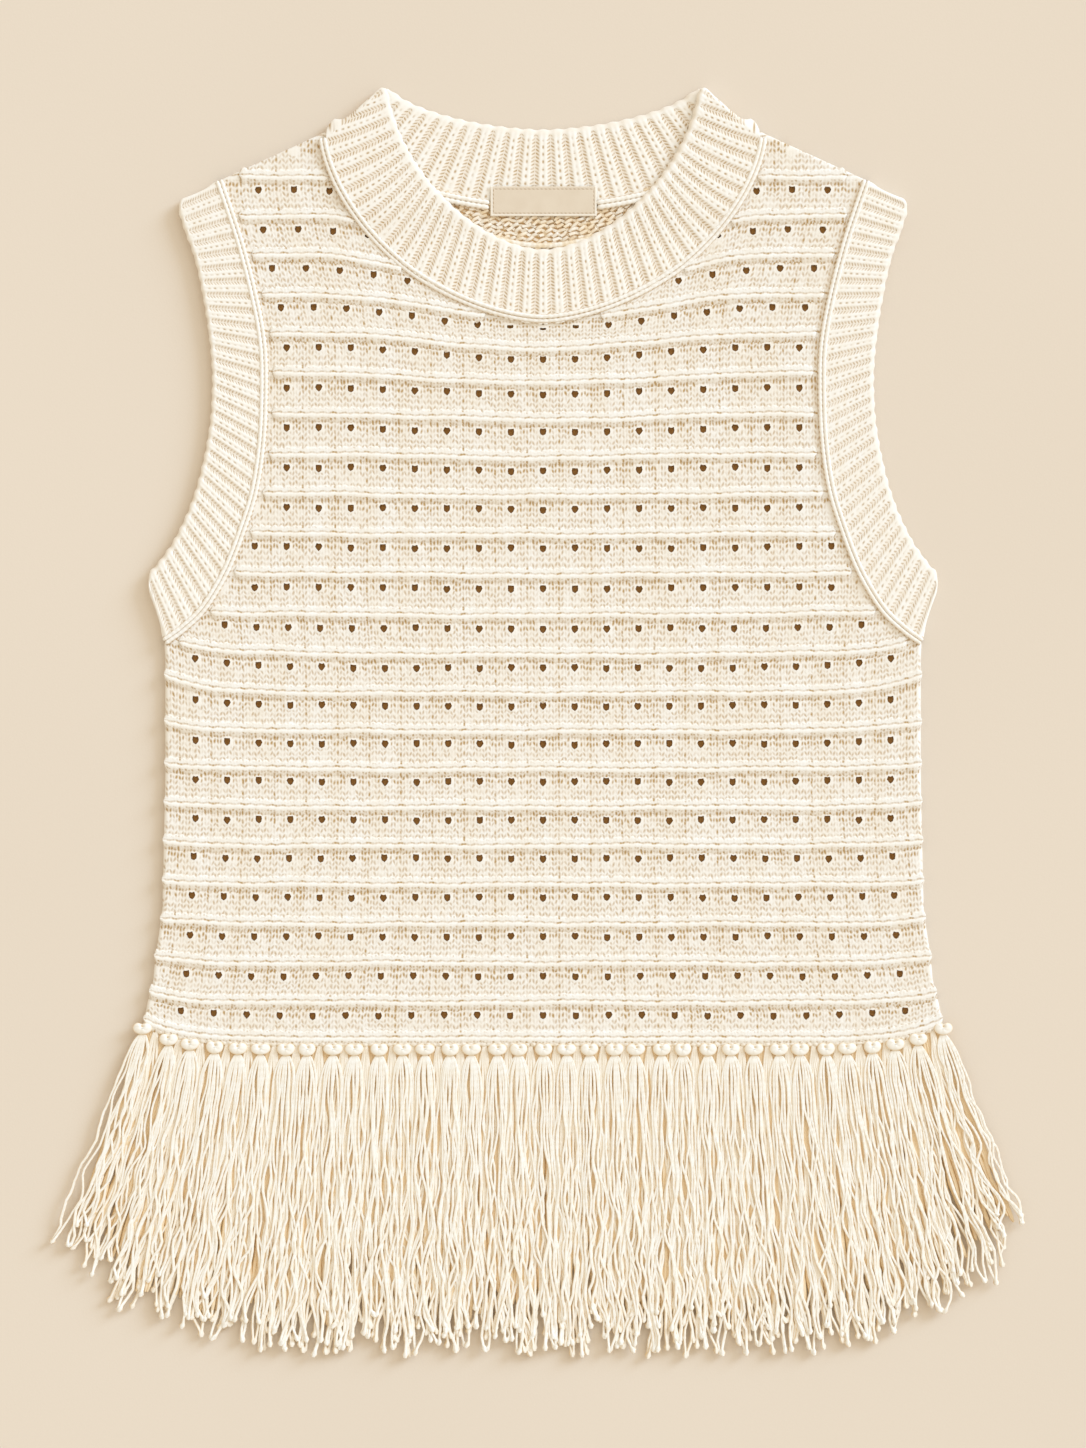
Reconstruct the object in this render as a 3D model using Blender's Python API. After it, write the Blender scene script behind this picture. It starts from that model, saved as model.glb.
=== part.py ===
"""Sleeveless knit blouse with a fringed hem, laid flat on a surface with its front up.

Frame: metres, +X towards the wearer's left arm, +Y from hem to neck, +Z up from the
surface.  The origin is the middle of the blouse's footprint, on that surface.

The back panel, the back halves of the three ribbed bands and the back fringe lie on the
surface.  The front panel, the front halves of the bands and the front fringe lie on them.
"""

import math

import bmesh
import bpy
import numpy as np


def table(columns, *rows):
    """Rows of numbers as one array for each named column."""
    return dict(zip(columns.split(), np.array(rows).T))


# Walls, gaps and reliefs
SEAM_GAP = 0.0003
CHORD_ROOM = 0.0003  # a panel's straight steps bulge this far towards a band's curved seam
PANEL_WALL = 0.0024
NECKBAND_WALL = 0.0032
ARMBAND_WALL = 0.0029
RIB_RISE = 0.0008
SEAM_RIDGE = 0.0009
EDGE_ROUNDING = 0.0009

# Heights of the two layers of cloth above the surface
BACK_TOP = PANEL_WALL
FRONT_LOW = BACK_TOP + SEAM_GAP
FRONT_TOP = FRONT_LOW + PANEL_WALL

# Neck: each curve is a superellipse below its top
NECK_POWER = 1.7
NECK_CURVES = {
    "front_seam": {"half_width": 0.1267, "depth": 0.1116, "top": 0.3448},
    "front_edge": {"half_width": 0.0901, "depth": 0.0930, "top": 0.3698},
    "back_seam": {"half_width": 0.1267, "depth": 0.0448, "top": 0.3448},
    "back_edge": {"half_width": 0.0901, "depth": 0.0230, "top": 0.3698},
}
NECK_RIBS = {"front": 36, "back": 24}
# The neckband's front half lies on its back half down to "high", and on the back panel from "low"
NECKBAND_DROP = {"high": 0.306, "low": 0.280}

# Ribbed bands: their two lines, and the sections round each fold as shares of a half turn,
# the ribs and ridges being raised only past SHOWN_TURN
LINES = ("seam", "edge")
HALF_TURN = 0.5 * math.pi
FOLD_SHARES = (0.5, 0.0, -0.5)
SHOWN_TURN = 1.0

# Armholes: each row is one rib line from the seam to the free edge, shoulder to underarm
ARMHOLE = table(
    "seam_x seam_y edge_x edge_y",
    (0.1883, 0.3169, 0.2139, 0.3047),
    (0.1819, 0.2983, 0.2081, 0.2867),
    (0.1755, 0.2785, 0.2023, 0.2704),
    (0.1680, 0.2495, 0.1970, 0.2448),
    (0.1633, 0.2239, 0.1938, 0.2227),
    (0.1622, 0.2012, 0.1924, 0.2018),
    (0.1633, 0.1681, 0.1935, 0.1774),
    (0.1674, 0.1385, 0.1976, 0.1536),
    (0.1744, 0.1152, 0.2040, 0.1309),
    (0.1842, 0.0902, 0.2133, 0.1100),
    (0.1970, 0.0687, 0.2226, 0.0960),
    (0.2092, 0.0565, 0.2290, 0.0885),
    (0.2203, 0.0484, 0.2307, 0.0821),
)
ARMHOLE_STEPS = 97
ARMBAND_RIBS = 31
ARMBAND_BACK_STATIONS = 14

# Body below the underarm: half width at each height, the lowest row being the hem's corner
SIDES = table(
    "y half_width",
    (-0.1742, 0.2325),
    (-0.1620, 0.2302),
    (-0.1481, 0.2267),
    (-0.1341, 0.2255),
    (-0.1202, 0.2232),
    (-0.1062, 0.2214),
    (-0.0300, 0.2197),
    (0.0400, 0.2197),
    (0.0484, 0.2203),
)
HEM_Y = -0.1853

# Welts: raised ridges of knitting across the front, and a lesser one along the hem
WELT_FIRST_Y = -0.1600
WELT_PITCH = 0.02286
WELT_COUNT = 22
HEM_CHAIN_Y = -0.1809
WELT_ROWS = [HEM_CHAIN_Y] + [WELT_FIRST_Y + k * WELT_PITCH for k in range(WELT_COUNT)]
WELT = table(
    "offset rise",
    (-0.0120, 0.0),
    (-0.0034, 0.0),
    (-0.0023, 0.0019),
    (0.0010, 0.0012),
    (0.0032, 0.0),
)
# Share of the front's width from its inner to its outer edge, and share of the welt's rise
FRONT_STATIONS = table(
    "across rise_share",
    (0.0, 0.0),
    (0.03, 1.0),
    (0.28, 1.0),
    (0.55, 1.0),
    (0.80, 1.0),
    (0.975, 1.0),
    (1.0, 0.4),
)
# Extra rows just above the lowest point of the neck, where its curve turns fast, and above
# the last welt, down from the shoulder's top; a welt's row closer than LEAST_STEP is dropped
NECK_STEPS = (0.0, 0.0013, 0.0030, 0.0055, 0.0090, 0.0135)
SHOULDER_STEPS = (0.0015, 0.0070, 0.0135)
LEAST_STEP = 0.0009
BACK_NECK_POINTS = 34  # round half of the back panel's neck
BACK_HEM_POINTS = 16  # along half of its hem
BACK_ARMHOLE_STRIDE = 4  # of the armhole's steps
# Rows of knitting dip under the neckband and rise at the sides
NECK_DIP = {"depth": 0.0070, "at": 0.2198, "fade": 0.045, "half_width": 0.134}
EDGE_RISE = table(
    "y rise",
    (-0.1853, 0.0120),
    (-0.1650, 0.0075),
    (-0.1400, 0.0045),
    (0.0000, 0.0030),
    (0.0330, 0.0100),
    (0.0700, 0.0),
)
EDGE_RISE_HALF_WIDTH = 0.2325
EDGE_RISE_POWER = 8

# Label: a plain woven strip sewn inside the back neck
LABEL_SIZE = (0.0616, 0.0180, 0.0007)
LABEL_CENTRE_Y = 0.3050
LABEL_BEVEL = 0.0002

# Fringe: tassels knotted through the hem, each a head on a narrow strip and a few locks.
# A lock's path gives the share of its length, its middle's height, its width and its depth.
TASSEL_PITCH = 0.01365
STRIP_HEIGHT = 0.0052
FRINGES = {
    "fringe_front": {
        "tassels": 35,
        "locks": 4,
        "low": FRONT_LOW,
        "high": 0.0049,
        "knot_rise": 0.0018,
        "root_pitch": 0.0024,
        "tip_pitch": 0.0034,
        "reach": 1.0,
        "path": table(
            "share height width depth",
            (0.35, 0.0045, 0.0024, 0.0021),
            (0.86, 0.0039, 0.0022, 0.0017),
            (1.00, 0.0015, 0.0014, 0.0014),
        ),
    },
    "fringe_back": {
        "tassels": 34,
        "locks": 2,
        "low": 0.0,
        "high": BACK_TOP,
        "knot_rise": 0.0,
        "root_pitch": 0.0042,
        "tip_pitch": 0.0066,
        "reach": 0.82,
        "path": table(
            "share height width depth",
            (0.45, 0.0013, 0.0038, 0.0018),
            (1.00, 0.0011, 0.0020, 0.0014),
        ),
    },
}
# Lower end of the fringe: straight down at the middle, leaning out and shorter at the sides
FRINGE_TIP_Y = -0.3655
FRINGE_SIDE_LIFT = 0.0660
FRINGE_LIFT_POWER = 7
FRINGE_SIDE_LEAN = 0.0395
FRINGE_LEAN_POWER = 2.2
LOCK_BEND_POWER = 1.3  # a lock leaves its head straight and leans more towards its tip
LOCK_WAVE = 0.0007
LOCK_WAVE_STEP = 1.7
UNEVEN_STEP = 0.0018  # tips differ by this much in a pattern of five steps, taken two apart
UNEVEN_COUNT = 5
UNEVEN_STRIDE = 2

YARN_COLOURS = {
    "front_panel": (0.90, 0.85, 0.74),
    "back_panel": (0.88, 0.83, 0.72),
    "neckband": (0.91, 0.86, 0.76),
    "armband": (0.91, 0.86, 0.76),
    "label": (0.80, 0.71, 0.57),
    "fringe": (0.92, 0.87, 0.76),
}
YARN_ROUGHNESS = 0.9
SHARP_ANGLE = math.radians(35.0)


def clear_scene():
    for item in list(bpy.data.objects):
        bpy.data.objects.remove(item)


def yarn_material(name, colour):
    material = bpy.data.materials.new(name + "_yarn")
    material.use_nodes = True
    shader = material.node_tree.nodes["Principled BSDF"]
    shader.inputs["Base Color"].default_value = (*colour, 1.0)
    shader.inputs["Roughness"].default_value = YARN_ROUGHNESS
    shader.inputs["Metallic"].default_value = 0.0
    material.diffuse_color = (*colour, 1.0)
    return material


def add_piece(name, mesh, colour):
    mesh.shade_smooth()
    mesh.set_sharp_from_angle(angle=SHARP_ANGLE)
    piece = bpy.data.objects.new(name, mesh)
    bpy.context.scene.collection.objects.link(piece)
    piece.data.materials.append(yarn_material(name, YARN_COLOURS[colour]))
    return piece


def mesh_from(bm, name):
    bmesh.ops.recalc_face_normals(bm, faces=bm.faces)
    mesh = bpy.data.meshes.new(name)
    bm.to_mesh(mesh)
    bm.free()
    return mesh


def smoothstep(x, low, high):
    t = np.clip((x - low) / (high - low), 0.0, 1.0)
    return t * t * (3.0 - 2.0 * t)


def smooth_through(points, count):
    """`count` points evenly spaced in parameter on a Catmull-Rom curve through the points."""
    ends = np.vstack([2 * points[0] - points[1], points, 2 * points[-1] - points[-2]])
    at = np.linspace(0.0, len(points) - 1.0, count)
    first = np.minimum(at.astype(int), len(points) - 2)
    t = (at - first)[:, None]
    a, b, c, d = (ends[first + shift] for shift in range(4))
    return 0.5 * (
        2 * b + (c - a) * t + (2 * a - 5 * b + 4 * c - d) * t**2 + (3 * b - a - 3 * c + d) * t**3
    )


def by_length(points, shares):
    """The points at these shares of a polyline's length."""
    steps = np.linalg.norm(np.diff(points, axis=0), axis=1)
    run = np.append(0.0, np.cumsum(steps)) / steps.sum()
    return np.stack([np.interp(shares, run, points[:, k]) for k in range(2)], axis=1)


def neck_drop(curve, x):
    """How far a neck curve lies below its top at x."""
    share = np.clip(1.0 - (np.abs(x) / curve["half_width"]) ** NECK_POWER, 0.0, 1.0)
    return curve["depth"] * share ** (1.0 / NECK_POWER)


def neck_polyline(curve):
    """A neck curve from the -X shoulder round to the +X shoulder."""
    turn = np.linspace(math.pi, 2.0 * math.pi, 361)
    power = 2.0 / NECK_POWER
    x = np.sign(np.cos(turn)) * np.abs(np.cos(turn)) ** power * curve["half_width"]
    y = curve["top"] - np.abs(np.sin(turn)) ** power * curve["depth"]
    return np.stack([x, y], axis=1)


# Outline of the two panels, for the half at +X

def shifted(points, distance):
    """A polyline moved sideways, towards its right-hand side as it runs."""
    along = np.gradient(points, axis=0)
    along /= np.linalg.norm(along, axis=1)[:, None]
    return points + distance * np.stack([along[:, 1], -along[:, 0]], axis=1)


def armhole_line(x, y):
    """A smooth line through two columns of the armhole's table."""
    return smooth_through(np.stack([ARMHOLE[x], ARMHOLE[y]], axis=1), ARMHOLE_STEPS)


ARMHOLE_SEAM = armhole_line("seam_x", "seam_y")
ARMBAND_EDGE = armhole_line("edge_x", "edge_y")
PANEL_ARMHOLE = shifted(ARMHOLE_SEAM, SEAM_GAP)
SHOULDER_TOP = (
    NECK_CURVES["front_seam"]["half_width"] + SEAM_GAP + CHORD_ROOM,
    NECK_CURVES["front_seam"]["top"],
)
SHOULDER_END = tuple(PANEL_ARMHOLE[0])
UNDERARM = (SIDES["half_width"][-1], SIDES["y"][-1])
HEM_CORNER = (SIDES["half_width"][0], SIDES["y"][0])


def panel_neck(name):
    """A neck seam as the panel's edge, a seam gap outside the neckband's."""
    curve = dict(NECK_CURVES[name])
    curve["half_width"] += SEAM_GAP + CHORD_ROOM
    curve["depth"] += SEAM_GAP + CHORD_ROOM
    return curve


def outer_x(y):
    """Half width of a panel at height y: side, then armhole, then shoulder slope."""
    if y <= UNDERARM[1]:
        return float(np.interp(y, SIDES["y"], SIDES["half_width"]))
    if y <= SHOULDER_END[1]:
        rising = PANEL_ARMHOLE[::-1]
        return float(np.interp(y, rising[:, 1], rising[:, 0]))
    slope = (SHOULDER_TOP[0] - SHOULDER_END[0]) / (SHOULDER_TOP[1] - SHOULDER_END[1])
    return SHOULDER_END[0] + slope * (y - SHOULDER_END[1])


def row_y(y, x):
    """Height of the row of knitting that lies at y beside the neck, at the distance x."""
    reach = np.minimum(np.abs(x) / NECK_DIP["half_width"], 1.0)
    depth = NECK_DIP["depth"] * math.exp((y - NECK_DIP["at"]) / NECK_DIP["fade"])
    dip = depth * 0.5 * (1.0 + np.cos(math.pi * reach))
    corner_rise = np.interp(y, EDGE_RISE["y"], EDGE_RISE["rise"])
    return y - dip + corner_rise * (np.abs(x) / EDGE_RISE_HALF_WIDTH) ** EDGE_RISE_POWER


def crossing(inside, low, high):
    """Where a test that holds at low stops holding, by halving."""
    for _ in range(50):
        middle = 0.5 * (low + high)
        if inside(middle):
            low = middle
        else:
            high = middle
    return low


def row_through(x, y):
    """The row of knitting that passes through a point."""
    return crossing(lambda row: row_y(row, x) < y, HEM_Y - 0.05, 0.40)


def row_ends(y, neck):
    """Where a row of knitting meets the neck, or the middle below it, and the outer edge."""
    def in_neck(x):
        return row_y(y, x) > neck["top"] - neck_drop(neck, x)

    inner = crossing(in_neck, 0.0, neck["half_width"]) if in_neck(0.0) else 0.0
    outer = crossing(lambda x: x < outer_x(row_y(y, x)), inner, 0.30)
    return inner, outer


def welt_rise(y):
    """Rise of the front at the row y: the highest of the welts' profiles there."""
    return max(np.interp(y - welt, WELT["offset"], WELT["rise"], 0.0, 0.0) for welt in WELT_ROWS)


def front_rows(neck_low):
    """The rows of the front panel's mesh, hem to shoulder."""
    wanted = [HEM_Y, row_through(*UNDERARM), SHOULDER_END[1]]
    wanted += [neck_low + step for step in NECK_STEPS]
    wanted += [SHOULDER_TOP[1] - step for step in SHOULDER_STEPS]
    rows = list(wanted)
    for welt in WELT_ROWS:
        for y in welt + WELT["offset"]:
            if min(abs(y - kept) for kept in rows) > LEAST_STEP and y > HEM_Y:
                rows.append(y)
    return sorted(rows)


def make_front_panel():
    """Half of the front as a grid of rows of knitting, closed below by one plain face, mirrored."""
    neck = panel_neck("front_seam")
    neck_low = row_through(0.0, neck["top"] - neck["depth"])
    rows = front_rows(neck_low)
    bm = bmesh.new()
    top = []
    for y in rows:
        inner, outer = row_ends(y, neck)
        rise = welt_rise(y)
        line = []
        for across, share in zip(FRONT_STATIONS["across"], FRONT_STATIONS["rise_share"]):
            x = inner + (outer - inner) * across
            at_middle = inner == 0.0 and across == 0.0
            z = FRONT_TOP + rise * (1.0 if at_middle else share)
            line.append(bm.verts.new((x, row_y(y, x), z)))
        top.append(line)
    for lower, upper in zip(top, top[1:]):
        for k in range(len(lower) - 1):
            bm.faces.new((lower[k], lower[k + 1], upper[k + 1], upper[k]))

    first_open = min(i for i, y in enumerate(rows) if y >= neck_low)
    rim = list(top[0])
    rim += [line[-1] for line in top[1:]]
    rim += top[-1][-2::-1]
    rim += [line[0] for line in top[first_open:-1]][::-1]
    low = [bm.verts.new((vert.co.x, vert.co.y, FRONT_LOW)) for vert in rim]
    bm.faces.new(low)
    for k in range(len(rim) - 1):
        bm.faces.new((rim[k + 1], rim[k], low[k], low[k + 1]))

    piece = add_piece("front_panel", mesh_from(bm, "front_panel"), "front_panel")
    mirror = piece.modifiers.new("mirror", "MIRROR")
    mirror.merge_threshold = 0.00005
    return piece


def make_back_panel():
    """The back as one outline raised by the wall, its underside flat on the surface."""
    neck = panel_neck("back_seam")
    collar = by_length(neck_polyline(neck), np.linspace(0.5, 1.0, BACK_NECK_POINTS))
    armhole = PANEL_ARMHOLE[::BACK_ARMHOLE_STRIDE]
    side = np.stack([SIDES["half_width"], SIDES["y"]], axis=1)[-2:0:-1]
    hem_x = np.linspace(HEM_CORNER[0], 0.0, BACK_HEM_POINTS)
    hem = np.stack([hem_x, row_y(HEM_Y, hem_x)], axis=1)
    half = np.vstack([collar, armhole, side, hem])
    mirrored = half[-2:0:-1] * (-1.0, 1.0)
    bm = bmesh.new()
    face = bm.faces.new([bm.verts.new((x, y, 0.0)) for x, y in np.vstack([half, mirrored])])
    raised = bmesh.ops.extrude_face_region(bm, geom=[face])["geom"]
    lifted = [item for item in raised if isinstance(item, bmesh.types.BMVert)]
    bmesh.ops.translate(bm, verts=lifted, vec=(0.0, 0.0, BACK_TOP))
    return add_piece("back_panel", mesh_from(bm, "back_panel"), "back_panel")


def band_section(inner_ribs):
    """Section of a ribbed band, seam to free edge over its outer face and back under it.

    `face` is +1 for the outer face and -1 for the inner one, `plain` is the rise of seam
    and edge, and `rib` is the share of the rib's rise.
    """
    columns = "across face plain rib"
    outer = (
        (0.0, 1.0, 0.0, 0.0),
        (0.05, 1.0, SEAM_RIDGE, 0.0),
        (0.13, 1.0, 0.0, 1.0),
        (0.93, 1.0, 0.0, 1.0),
        (1.0, 1.0, -EDGE_ROUNDING, 1.0),
    )
    if not inner_ribs:
        return table(columns, *outer, (1.0, -1.0, 0.0, 0.0), (0.0, -1.0, 0.0, 0.0))
    return table(
        columns,
        *outer,
        (1.0, -1.0, -EDGE_ROUNDING, 1.0),
        (0.93, -1.0, 0.0, 1.0),
        (0.13, -1.0, 0.0, 1.0),
        (0.0, -1.0, 0.0, 0.0),
    )


def band_stations(front, back, inset, inner_ribs):
    """Places round a band where it has a section: front half, fold, back half, fold.

    Each holds the seam's and the edge's point, the same two at the fold that it bends
    towards, the turn from +90 degrees on the front to -90 on the back, and the ribs.
    """
    halves = {}
    for key, half in (("front", front), ("back", back)):
        lengths = [np.linalg.norm(np.diff(half[line], axis=0), axis=1).sum() for line in LINES]
        trim = inset / np.mean(lengths)
        shares = np.linspace(trim, 1.0 - trim, half["stations"])
        halves[key] = np.stack([by_length(half[line], shares) for line in LINES], axis=1)

    def flat(half, turn, ribs):
        return [
            {"start": lines, "end": lines, "turn": turn, "rib": k % 2 * ribs}
            for k, lines in enumerate(half)
        ]

    def fold(at, shares):
        end = np.stack([front[line][at] for line in LINES])
        return [
            {
                "start": (0.5 + 0.5 * share) * halves["front"][at]
                + (0.5 - 0.5 * share) * halves["back"][at],
                "end": end,
                "turn": share * HALF_TURN,
                "rib": 0,
            }
            for share in shares
        ]

    return (
        flat(halves["front"], HALF_TURN, True)
        + fold(-1, FOLD_SHARES)
        + flat(halves["back"][::-1], -HALF_TURN, inner_ribs)
        + fold(0, FOLD_SHARES[::-1])
    )


def make_band(name, colour, wall, clearance, front, back, inner_ribs=False, lift=None):
    """A ribbed band: a flattened ring, its front half over its back half, folded at both ends.

    front and back hold "seam" and "edge" polylines, which run the same way, and a count of
    "stations".  `clearance` parts the two halves, and `lift` is the front half's extra
    height at a point.  A section's point lies `reach` from the ring's mid-height.
    """
    inset = wall + 0.5 * clearance
    section = band_section(inner_ribs)
    count = len(section["across"])
    bm = bmesh.new()
    rings = []
    for station in band_stations(front, back, inset, inner_ribs):
        turn = station["turn"]
        on_back = turn < -SHOWN_TURN
        ring = []
        for across, face, plain, rib in zip(*section.values()):
            shown = (face < 0.0) == on_back
            rise = (plain + rib * station["rib"] * RIB_RISE) * shown
            reach = 0.5 * (wall + clearance) + face * (0.5 * wall + rise)
            start = station["start"][0] + (station["start"][1] - station["start"][0]) * across
            end = station["end"][0] + (station["end"][1] - station["end"][0]) * across
            x, y = start + (end - start) * min(1.0, reach * math.cos(turn) / inset)
            z = inset + reach * math.sin(turn)
            if lift and turn > SHOWN_TURN:
                z += lift(y)
            ring.append(bm.verts.new((x, y, z)))
        rings.append(ring)
    for here, ahead in zip(rings, rings[1:] + rings[:1]):
        for k in range(count):
            after = (k + 1) % count
            bm.faces.new((here[k], here[after], ahead[after], ahead[k]))
    return add_piece(name, mesh_from(bm, name), colour)


def make_neckband():
    """Rib band round the neck: its inside, ribbed too, shows at the back."""
    clearance = SEAM_GAP + max(RIB_RISE, SEAM_RIDGE)
    drop = NECKBAND_WALL + clearance - FRONT_LOW

    def lift(y):
        return -drop * (1.0 - smoothstep(y, NECKBAND_DROP["low"], NECKBAND_DROP["high"]))

    halves = [
        {
            "seam": neck_polyline(NECK_CURVES[side + "_seam"]),
            "edge": neck_polyline(NECK_CURVES[side + "_edge"]),
            "stations": 2 * NECK_RIBS[side] + 1,
        }
        for side in ("front", "back")
    ]
    return make_band(
        "neckband", "neckband", NECKBAND_WALL, clearance, *halves, inner_ribs=True, lift=lift
    )


def make_armband(name, side):
    """Rib band round one armhole, its two halves lying on each other."""
    lines = {"seam": ARMHOLE_SEAM * (side, 1.0), "edge": ARMBAND_EDGE * (side, 1.0)}
    front = {**lines, "stations": 2 * ARMBAND_RIBS + 1}
    back = {**lines, "stations": ARMBAND_BACK_STATIONS}
    return make_band(name, "armband", ARMBAND_WALL, SEAM_GAP, front, back)


def make_label():
    """Blank label on the neckband's inside, over the back neck seam."""
    bm = bmesh.new()
    bmesh.ops.create_cube(bm, size=1.0)
    low = NECKBAND_WALL + RIB_RISE + SEAM_GAP
    centre = (0.0, LABEL_CENTRE_Y, low + 0.5 * LABEL_SIZE[2])
    bmesh.ops.scale(bm, verts=bm.verts, vec=LABEL_SIZE)
    bmesh.ops.translate(bm, verts=bm.verts, vec=centre)
    piece = add_piece("label", mesh_from(bm, "label"), "label")
    bevel = piece.modifiers.new("edges", "BEVEL")
    bevel.width = LABEL_BEVEL
    return piece


def hem_y(x):
    return float(row_y(HEM_Y, x))


def lock_tip(x, spread, count):
    """Where a lock ends: it leans out and ends higher towards the sides of the hem."""
    share = abs(x) / EDGE_RISE_HALF_WIDTH
    lean = math.copysign(FRINGE_SIDE_LEAN * share**FRINGE_LEAN_POWER, x)
    uneven = UNEVEN_STEP * (count * UNEVEN_STRIDE % UNEVEN_COUNT - UNEVEN_COUNT // 2)
    return x + lean + spread, FRINGE_TIP_Y + FRINGE_SIDE_LIFT * share**FRINGE_LIFT_POWER + uneven


def fringe_strip(bm, facts):
    """The strip of tassel heads below the hem; gives the face that each lock grows from."""
    tassels, locks = facts["tassels"], facts["locks"]
    columns = []
    for tassel in range(tassels):
        centre = (tassel - 0.5 * (tassels - 1)) * TASSEL_PITCH
        for edge in range(locks + 1):
            x = centre + (edge - 0.5 * locks) * facts["root_pitch"]
            upper = hem_y(x) - SEAM_GAP
            lower = upper - STRIP_HEIGHT
            high = facts["high"] + facts["knot_rise"] * (0 < edge < locks)
            corners = ((upper, facts["low"]), (lower, facts["low"]), (lower, high), (upper, high))
            columns.append([bm.verts.new((x, y, z)) for y, z in corners])
    bm.faces.new(columns[0])
    bm.faces.new(columns[-1][::-1])
    roots = []
    for k, (here, ahead) in enumerate(zip(columns, columns[1:])):
        tassel, lock = divmod(k, locks + 1)
        for corner in range(4):
            after = (corner + 1) % 4
            face = bm.faces.new((here[corner], here[after], ahead[after], ahead[corner]))
            if corner == 1 and lock < locks:
                roots.append((face, tassel, lock))
    bmesh.ops.recalc_face_normals(bm, faces=bm.faces)
    return roots


def make_fringe(name):
    """A strip of tassel heads below the hem, each lock drawn out of the strip's lower side."""
    facts = FRINGES[name]
    path = facts["path"]
    bm = bmesh.new()
    for face, tassel, lock in fringe_strip(bm, facts):
        step = tassel - 0.5 * (facts["tassels"] - 1)
        offset = lock - 0.5 * (facts["locks"] - 1)
        side = -1.0 if step < 0.0 else 1.0
        root = face.calc_center_median()
        count = round(2.0 * (abs(step) * facts["locks"] + side * offset))
        tip_x, tip_y = lock_tip(step * TASSEL_PITCH, offset * facts["tip_pitch"], count)
        for share, height, width, depth in zip(*path.values()):
            run = share * facts["reach"]
            wave = math.sin(LOCK_WAVE_STEP * abs(step) + 2.0 * math.pi * share)
            x = root.x + (tip_x - root.x) * run**LOCK_BEND_POWER + side * LOCK_WAVE * wave * share
            y = root.y + (tip_y - root.y) * run
            face = bmesh.ops.extrude_discrete_faces(bm, faces=[face])["faces"][0]
            was = face.calc_center_median()
            for vert in face.verts:
                right = math.copysign(0.5 * width, vert.co.x - was.x)
                above = math.copysign(0.5 * depth, vert.co.z - was.z)
                vert.co = (x + right, y, height + above)
    return add_piece(name, mesh_from(bm, name), "fringe")


clear_scene()
make_back_panel()
make_front_panel()
make_neckband()
make_armband("armband_left", 1.0)
make_armband("armband_right", -1.0)
make_label()
for fringe in FRINGES:
    make_fringe(fringe)
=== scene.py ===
"""Cream sleeveless knit blouse with a fringed hem, laid flat with its front up."""

import bpy
import numpy as np
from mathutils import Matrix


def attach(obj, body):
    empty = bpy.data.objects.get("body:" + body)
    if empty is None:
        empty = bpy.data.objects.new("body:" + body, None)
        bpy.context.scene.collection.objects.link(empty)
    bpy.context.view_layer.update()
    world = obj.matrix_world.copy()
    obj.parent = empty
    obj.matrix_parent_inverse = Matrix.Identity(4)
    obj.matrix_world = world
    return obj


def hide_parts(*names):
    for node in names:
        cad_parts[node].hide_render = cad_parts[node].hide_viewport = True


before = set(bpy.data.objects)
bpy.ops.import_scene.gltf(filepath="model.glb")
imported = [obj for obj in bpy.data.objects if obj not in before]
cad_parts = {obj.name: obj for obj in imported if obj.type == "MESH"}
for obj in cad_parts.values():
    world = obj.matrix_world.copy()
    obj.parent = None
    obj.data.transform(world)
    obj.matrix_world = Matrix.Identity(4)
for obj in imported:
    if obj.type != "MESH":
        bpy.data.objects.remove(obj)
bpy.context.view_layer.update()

# Camera, straight above the blouse. It is set from the photograph's frame: the size of one
# pixel on the cloth, and the pixel that lies over the frame's origin.
PHOTO_SIZE = (1086, 1448)
PHOTO_ORIGIN = (543.0, 725.25)
PIXEL = 0.0005812
LENS = 100.0
SENSOR = 36.0
CLOTH_HEIGHT = 0.006

camera = bpy.data.objects.new("camera", bpy.data.cameras.new("camera"))
bpy.context.scene.collection.objects.link(camera)
camera.data.lens = LENS
camera.data.sensor_width = SENSOR
camera.data.dof.use_dof = False
camera.location = (
    (0.5 * PHOTO_SIZE[0] - PHOTO_ORIGIN[0]) * PIXEL,
    (PHOTO_ORIGIN[1] - 0.5 * PHOTO_SIZE[1]) * PIXEL,
    CLOTH_HEIGHT + PHOTO_SIZE[1] * PIXEL * LENS / SENSOR,
)
bpy.context.scene.camera = camera


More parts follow.
